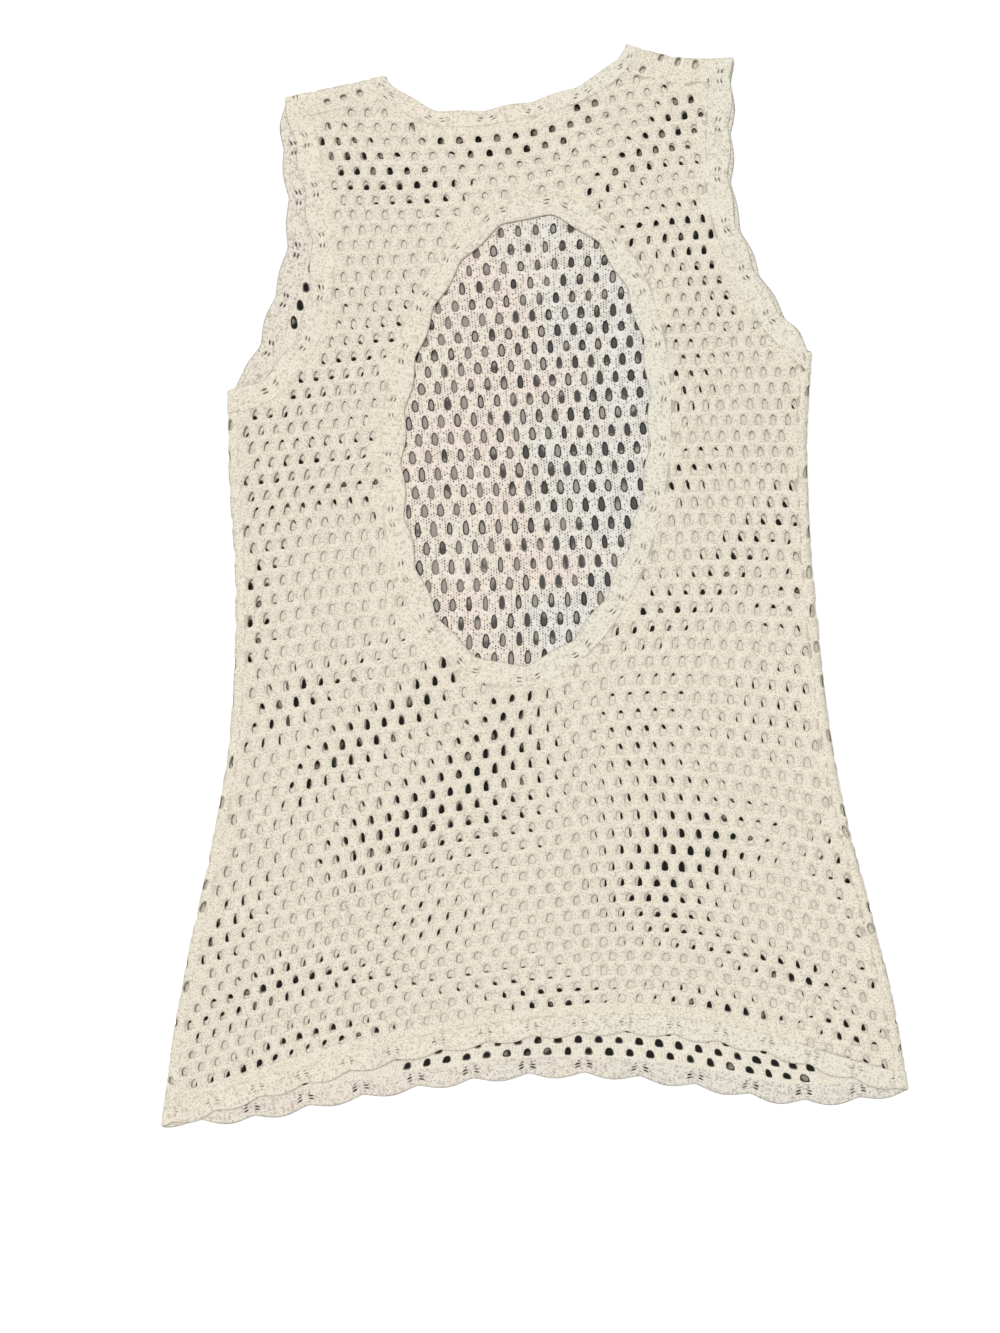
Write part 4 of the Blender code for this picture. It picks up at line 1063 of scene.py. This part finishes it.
class Value:
    """The output of a node, on which Python's signs work: each of them makes one math node."""

    def __init__(self, tree, socket):
        self.tree = tree
        self.socket = socket

    def math(self, operation, *others):
        return math_node(self.tree, operation, self, *others)

    def __add__(self, other):
        return self.math("ADD", other)

    def __sub__(self, other):
        return self.math("SUBTRACT", other)

    def __rsub__(self, other):
        return math_node(self.tree, "SUBTRACT", other, self)

    def __mul__(self, other):
        return self.math("MULTIPLY", other)

    def __pow__(self, power):
        return self.math("POWER", power)

    def clamped(self):
        """The same value, kept from 0 to 1 by its own node."""
        self.socket.node.use_clamp = True
        return self


def new_node(tree, kind, output, inputs=(), **settings):
    """A node with its settings and named or numbered inputs, as the value of one of its outputs."""
    node = tree.nodes.new(kind)
    for name, value in settings.items():
        setattr(node, name, value)
    for socket, value in inputs:
        join(value, node.inputs[socket])
    return Value(tree, node.outputs[output])


def math_node(tree, operation, *values):
    return new_node(tree, "ShaderNodeMath", 0, enumerate(values), operation=operation)


def mix(share, first, second):
    """A colour between two, each a value or plain red, green and blue."""
    first, second = [colour if isinstance(colour, Value) else (*colour, 1)
                     for colour in (first, second)]
    return new_node(share.tree, "ShaderNodeMix", "Result",
                    (("Factor", share), ("A", first), ("B", second)), data_type="RGBA")


def noise(where, scale, detail=2.0):
    return new_node(where.tree, "ShaderNodeTexNoise", "Fac",
                    (("Vector", where), ("Scale", scale), ("Detail", detail)))


def part(vector, number):
    return new_node(vector.tree, "ShaderNodeSeparateXYZ", number, ((0, vector),))


def stitch(across, along):
    """Place within a stitch, from -0.5 to 0.5 both ways, and a random number for each stitch."""
    cell = new_node(across.tree, "ShaderNodeCombineXYZ", 0,
                    enumerate((across.math("FLOOR"), along.math("FLOOR"))))
    chance = new_node(across.tree, "ShaderNodeTexWhiteNoise", "Value", (("Vector", cell),),
                      noise_dimensions="2D")
    return across.math("FRACT") - 0.5, along.math("FRACT") - 0.5, chance


def spot(x, y, width, height):
    """A soft round spot in the middle of a stitch."""
    return (x * x * (-1 / width ** 2) + y * y * (-1 / height ** 2)).math("EXPONENT")


def beyond(chance, limit):
    """Nothing up to the limit, and from there up to 1."""
    return ((chance - limit) * (1 / (1 - limit))).clamped()


def right_side(across, along):
    """Upright columns of V-shaped stitches: their height, and painted shade that darkens the gaps
    between them.
    """
    x, y, chance = stitch(across, along)
    off = x.math("ABSOLUTE") * 2.0
    leg = (off - 0.5) * 2.0
    wave = ((along + off * 0.6).math("FRACT") * math.pi).math("SINE")
    height = (1.0 - leg * leg) * (wave * 0.6 + 0.4)
    line = off ** 5.0 * (beyond(chance, 0.3) * 0.6)
    gap = spot(x, y, 0.30, 0.38) * beyond(chance, 0.6)
    return height, line.math("MAXIMUM", gap)


def wrong_side(across, along):
    """Rows of small bumps, with painted shade in gaps that run in zigzags."""
    column = across.math("FLOOR").math("MODULO", 2.0).math("ABSOLUTE")
    x, y, chance = stitch(across, along + column * 0.45)
    gap = spot(x, y, 0.28, 0.34) * ((chance - 0.14) * 1.55)
    return 1.0 - spot(x, y, 0.4, 0.4), gap.clamped()


def close_knit(across, along):
    """The close knit of the edgings: fine ribs along them, with dashes of painted shade between
    stitches.
    """
    dash, unused, chance = stitch(across * 0.7, along)
    rise = (along * 1.6).math("FRACT")
    rib = (rise * math.pi).math("SINE")
    return rib, spot(dash, rise - 0.5, 0.36, 0.26) * beyond(chance, 0.6)


def blank_material(name, roughness):
    """A new material, its node tree and the inputs of its shader."""
    material = bpy.data.materials.new(name)
    material.use_nodes = True
    inputs = material.node_tree.nodes["Principled BSDF"].inputs
    inputs["Roughness"].default_value = roughness
    return material, material.node_tree, inputs


# The stitches that show, the colours of the yarn and of the painted shade in the gaps between its
# stitches, two soft painted light tints, the colours of light and dark rims (painted shade round
# holes, slits and free edges), how dark the painted gap shade and the specks are, the power with
# which a rim darkens, and how deep the stitches are.
Knit = namedtuple("Knit", "face yarn gap warm cool rims darkness specks rim_power relief")
YARN_GRAIN = 900.0              # scale of the noise of the fibres and of the specks
SPECK_FROM, SPECK_STEEPNESS = 0.53, 7.0
TINT_SCALE, TINT_CONTRAST = 16.0, 5.0
COOL_FROM, COOL_STEEPNESS = 12 * MM, 18.0      # the painted cool light tint starts a little right of the middle
GAP_SHADE_OUTSIDE_CUTOUT = 0.45          # share of the painted gap shade that stays outside the cut-out
STITCH_DEPTH = 0.3 * MM


def knit_material(name, knit):
    material, tree, shader = blank_material(name, 0.93)
    stitches = new_node(tree, "ShaderNodeUVMap", 0, uv_map="stitches")
    height, gap = knit.face(part(stitches, 0), part(stitches, 1))
    rim, shade, cutout_share = [new_node(tree, "ShaderNodeAttribute", "Fac", attribute_name=mark)
                             for mark in MARKS]
    where = new_node(tree, "ShaderNodeTexCoord", "Object")
    fibre = noise(where, YARN_GRAIN, 3.0)
    speck = ((noise(where, YARN_GRAIN, 1.0) - SPECK_FROM) * SPECK_STEEPNESS).clamped()
    # painted light tints: warm in patches away from the right and cool to the right, full inside
    # the cut-out
    patchy = (noise(where, TINT_SCALE) - 0.5) * TINT_CONTRAST
    right = ((part(where, 0) - COOL_FROM) * COOL_STEEPNESS + patchy + 0.5).clamped()
    cloud = (patchy * -1.2 + 0.6).clamped()
    colour = mix(cloud * (1.0 - right) * cutout_share, knit.yarn, knit.warm)
    colour = mix(right * cutout_share, colour, knit.cool)
    # painted shade in the gaps between stitches, full inside the cut-out, with specks
    gap_shade = (cutout_share * (1 - GAP_SHADE_OUTSIDE_CUTOUT) + GAP_SHADE_OUTSIDE_CUTOUT) * (gap * knit.darkness)
    colour = mix(gap_shade.math("MAXIMUM", speck * knit.specks), colour, knit.gap)
    # painted shade on the rims of holes and slits and along free edges, darker to the right, and
    # the darker seams
    rim_shade = (shade * 1.1 + right * 0.6).clamped()
    colour = mix((rim ** knit.rim_power).clamped(), colour, mix(rim_shade, *knit.rims))
    join(colour, shader["Base Color"])
    relief = (("Strength", knit.relief), ("Distance", STITCH_DEPTH),
              ("Height", height + fibre * 0.5))
    join(new_node(tree, "ShaderNodeBump", 0, relief), shader["Normal"])
    shader["Specular IOR Level"].default_value = 0.2
    shader["Sheen Weight"].default_value = 0.1
    shader["Sheen Roughness"].default_value = 0.5
    return material


NET_RIGHT = Knit(right_side, (0.84, 0.775, 0.645), (0.34, 0.275, 0.20),
                 (0.845, 0.765, 0.65), (0.82, 0.785, 0.665),
                 ((0.72, 0.65, 0.525), (0.38, 0.33, 0.25)), 1.3, 0.6, 0.4, 0.6)
NET_WRONG = Knit(wrong_side, (0.825, 0.765, 0.645), (0.085, 0.075, 0.07),
                 (0.85, 0.75, 0.65), (0.785, 0.765, 0.705),
                 ((0.22, 0.185, 0.155), (0.006, 0.005, 0.005)), 1.0, 0.22, 0.10, 0.4)
EDGING_RIGHT = Knit(close_knit, (0.83, 0.765, 0.635), (0.26, 0.205, 0.145),
                    (0.83, 0.755, 0.635), (0.805, 0.77, 0.65),
                    ((0.12, 0.10, 0.08), (0.10, 0.08, 0.06)), 0.9, 0.5, 3.0, 0.5)
EDGING_WRONG = Knit(close_knit, (0.79, 0.735, 0.63), (0.19, 0.155, 0.125),
                    (0.81, 0.735, 0.635), (0.765, 0.73, 0.635),
                    ((0.06, 0.05, 0.04), (0.04, 0.035, 0.03)), 0.95, 0.6, 2.0, 0.5)


SHADE_SHEET_GRAIN = 62.0             # scale of the painted shade's patches
PATCH_STEEPNESS = 14.0
LIGHTER_FROM, LIGHTER_RATE = 250 * MM, 2.2     # the painted shade is lighter towards the shoulders


def shade_sheet_material(name, dark, light, lit, darker_right):
    """Mottled painted shade seen through the holes; lit is the share of its lighter patches."""
    material, tree, shader = blank_material(name, 0.95)
    where = new_node(tree, "ShaderNodeTexCoord", "Object")
    upward = (part(where, 1) - LIGHTER_FROM).math("MAXIMUM", 0.0)
    patch = noise(where, SHADE_SHEET_GRAIN, 1.0) + upward * LIGHTER_RATE - part(where, 0) * darker_right
    patch = ((patch - (1 - lit)) * PATCH_STEEPNESS).clamped()
    join(mix(patch, dark, light), shader["Base Color"])
    return material


def plain_material(name, colour, roughness):
    material, tree, shader = blank_material(name, roughness)
    join((*colour, 1), shader["Base Color"])
    return material


# ---------------------------------------------------------------- the garment
BACK_BANDS = ((-36, 0), (0, 38))               # courses of holes in each band of a net
FRONT_BANDS = ((-34, -8), (-8, 12), (12, 38))
BACK_SEED, FRONT_SEED = 11, 31


def both_sides(name, right, wrong):
    return knit_material(name + "_right_side", right), knit_material(name + "_wrong_side", wrong)


def dress():
    net_knit = both_sides("net", NET_RIGHT, NET_WRONG)
    edging_knit = both_sides("edging", EDGING_RIGHT, EDGING_WRONG)
    front = [("front_panel",
              net_piece("front_net_%d" % number, FRONT_NET, FRONT_HOLES, FRONT_LIP,
                        FRONT_SEED + number, band, front_outline(), None, True, net_knit))
             for number, band in enumerate(FRONT_BANDS)]
    back = [("back_panel",
             net_piece("back_net_%d" % number, BACK_NET, BACK_HOLES, BACK_LIP,
                       BACK_SEED + number, band, back_outline(), cutout_sewn(whole_turn(180)),
                       False, net_knit))
            for number, band in enumerate(BACK_BANDS)]
    edgings = [("hem_edging_front", hem_edging_front(edging_knit)),
               ("hem_edging_back", hem_edging_back(edging_knit)),
               ("cutout_edging", cutout_edging(edging_knit)),
               ("neck_edging", neck_edging(edging_knit))]
    edgings += [("armhole_edging_" + side, armhole_edging(side, edging_knit)) for side in OUTWARD]
    front_nets = [cut[0] for node, cut in front]
    for group, rests_on in ((front, ["floor"]), (back, front_nets), (edgings, front_nets)):
        for node, (piece, flat, area) in group:
            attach(piece, "root")
            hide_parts(node)
            tuple(map(float, flat))
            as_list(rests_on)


# ---------------------------------------------------------------- the studio
VIEW_CENTRE = (-23.8 * MM, -55.1 * MM, 3 * MM)
VIEW_HEIGHT = 906.4 * MM        # of what the camera takes in
LENS, SENSOR = 85.0, 36.0
SHADE_SHEET_INSET = 4.5 * MM         # the dark sheet of painted shade under the garment stays this far inside it
SHADE_SHEET_DROP = 0.2 * MM
FLOOR_DROP = 0.3 * MM
FLOOR_HALF = 3.0
SKY_STRENGTH = 0.36
SUN_STRENGTH = 2.38
SUN_PLACE = (-0.35, 0.45, 2.6)
SUN_WIDTH = 26                  # degrees; a wide sun gives soft shadows


def flat_patch(name, outline, height, material):
    mesh = bpy.data.meshes.new(name)
    mesh.from_pydata([(x, y, height) for x, y in outline], [], [tuple(range(len(outline)))])
    mesh.materials.append(material)
    placed(name, mesh)


# Parts of the garment's lines that stay clear of its corners.
HEM_PART, SIDE_PART, ARMHOLE_PART = (0.015, 0.985), (0.02, 0.98), (0.05, 0.97)
SHOULDER_PART, NECK_PART = (0.06, 0.94, 8), (0.97, 0.03)


def under_garment():
    """The outline of the garment, moved in."""
    def upward(side):
        return np.vstack([SIDE_FOLDS[side].at(np.linspace(*SIDE_PART, OUTLINE_STEPS)),
                          ARMHOLES_FRONT[side].free(np.linspace(*ARMHOLE_PART, OUTLINE_STEPS)),
                          SHOULDER_FOLDS[side].at(np.linspace(*SHOULDER_PART))])

    outline = closed_outline(HEM_FRONT.free(np.linspace(*HEM_PART, OUTLINE_STEPS)), upward,
                             NECK_BACK.free(np.linspace(*NECK_PART, OUTLINE_STEPS)))
    inward = turned_left(unit(np.roll(outline, -1, axis=0) - np.roll(outline, 1, axis=0)))
    return outline + inward * SHADE_SHEET_INSET


def floor_and_shade_sheets():
    """A pale floor, and dark patches that show through the holes and stand for the shade there."""
    floor = np.array([(-1, -1), (1, -1), (1, 1), (-1, 1)]) * FLOOR_HALF
    flat_patch("floor", floor, -FLOOR_DROP, plain_material("floor_white", (0.97, 0.97, 0.97), 0.9))
    # painted shade seen through the holes: near black with lighter mottling under the garment,
    # taupe and darker to the right in the cut-out
    dark = shade_sheet_material("painted_shade_mottled", (0.008, 0.006, 0.005), (0.30, 0.27, 0.21), 0.42, 0.0)
    flat_patch("shade_sheet_under_garment", under_garment(), -SHADE_SHEET_DROP, dark)
    taupe = shade_sheet_material("painted_shade_taupe", (0.085, 0.08, 0.078), (0.35, 0.31, 0.275), 0.55, 1.5)
    flat_patch("shade_sheet_in_cutout", cutout_free(whole_turn(90)), -SHADE_SHEET_DROP / 2, taupe)


def lights():
    world = bpy.data.worlds.new("studio")
    world.use_nodes = True
    sky = world.node_tree.nodes["Background"].inputs
    sky["Color"].default_value = (1, 1, 1, 1)
    sky["Strength"].default_value = SKY_STRENGTH
    bpy.context.scene.world = world
    lamp = bpy.data.lights.new("soft_light", "SUN")
    lamp.energy, lamp.angle = SUN_STRENGTH, math.radians(SUN_WIDTH)
    light = placed("soft_light", lamp)
    light.location = SUN_PLACE
    follow = light.constraints.new("TRACK_TO")
    follow.target = placed("soft_light_aim", None)
    follow.track_axis, follow.up_axis = "TRACK_NEGATIVE_Z", "UP_Y"


def camera():
    lens = bpy.data.cameras.new("camera")
    lens.lens, lens.sensor_width = LENS, SENSOR
    lens.clip_start = 0.05
    eye = placed("camera", lens)
    x, y, z = VIEW_CENTRE
    eye.location = (x, y, z + VIEW_HEIGHT * LENS / SENSOR)
    bpy.context.scene.camera = eye
    bpy.context.scene.view_settings.view_transform = "Standard"


dress()
floor_and_shade_sheets()
lights()
camera()
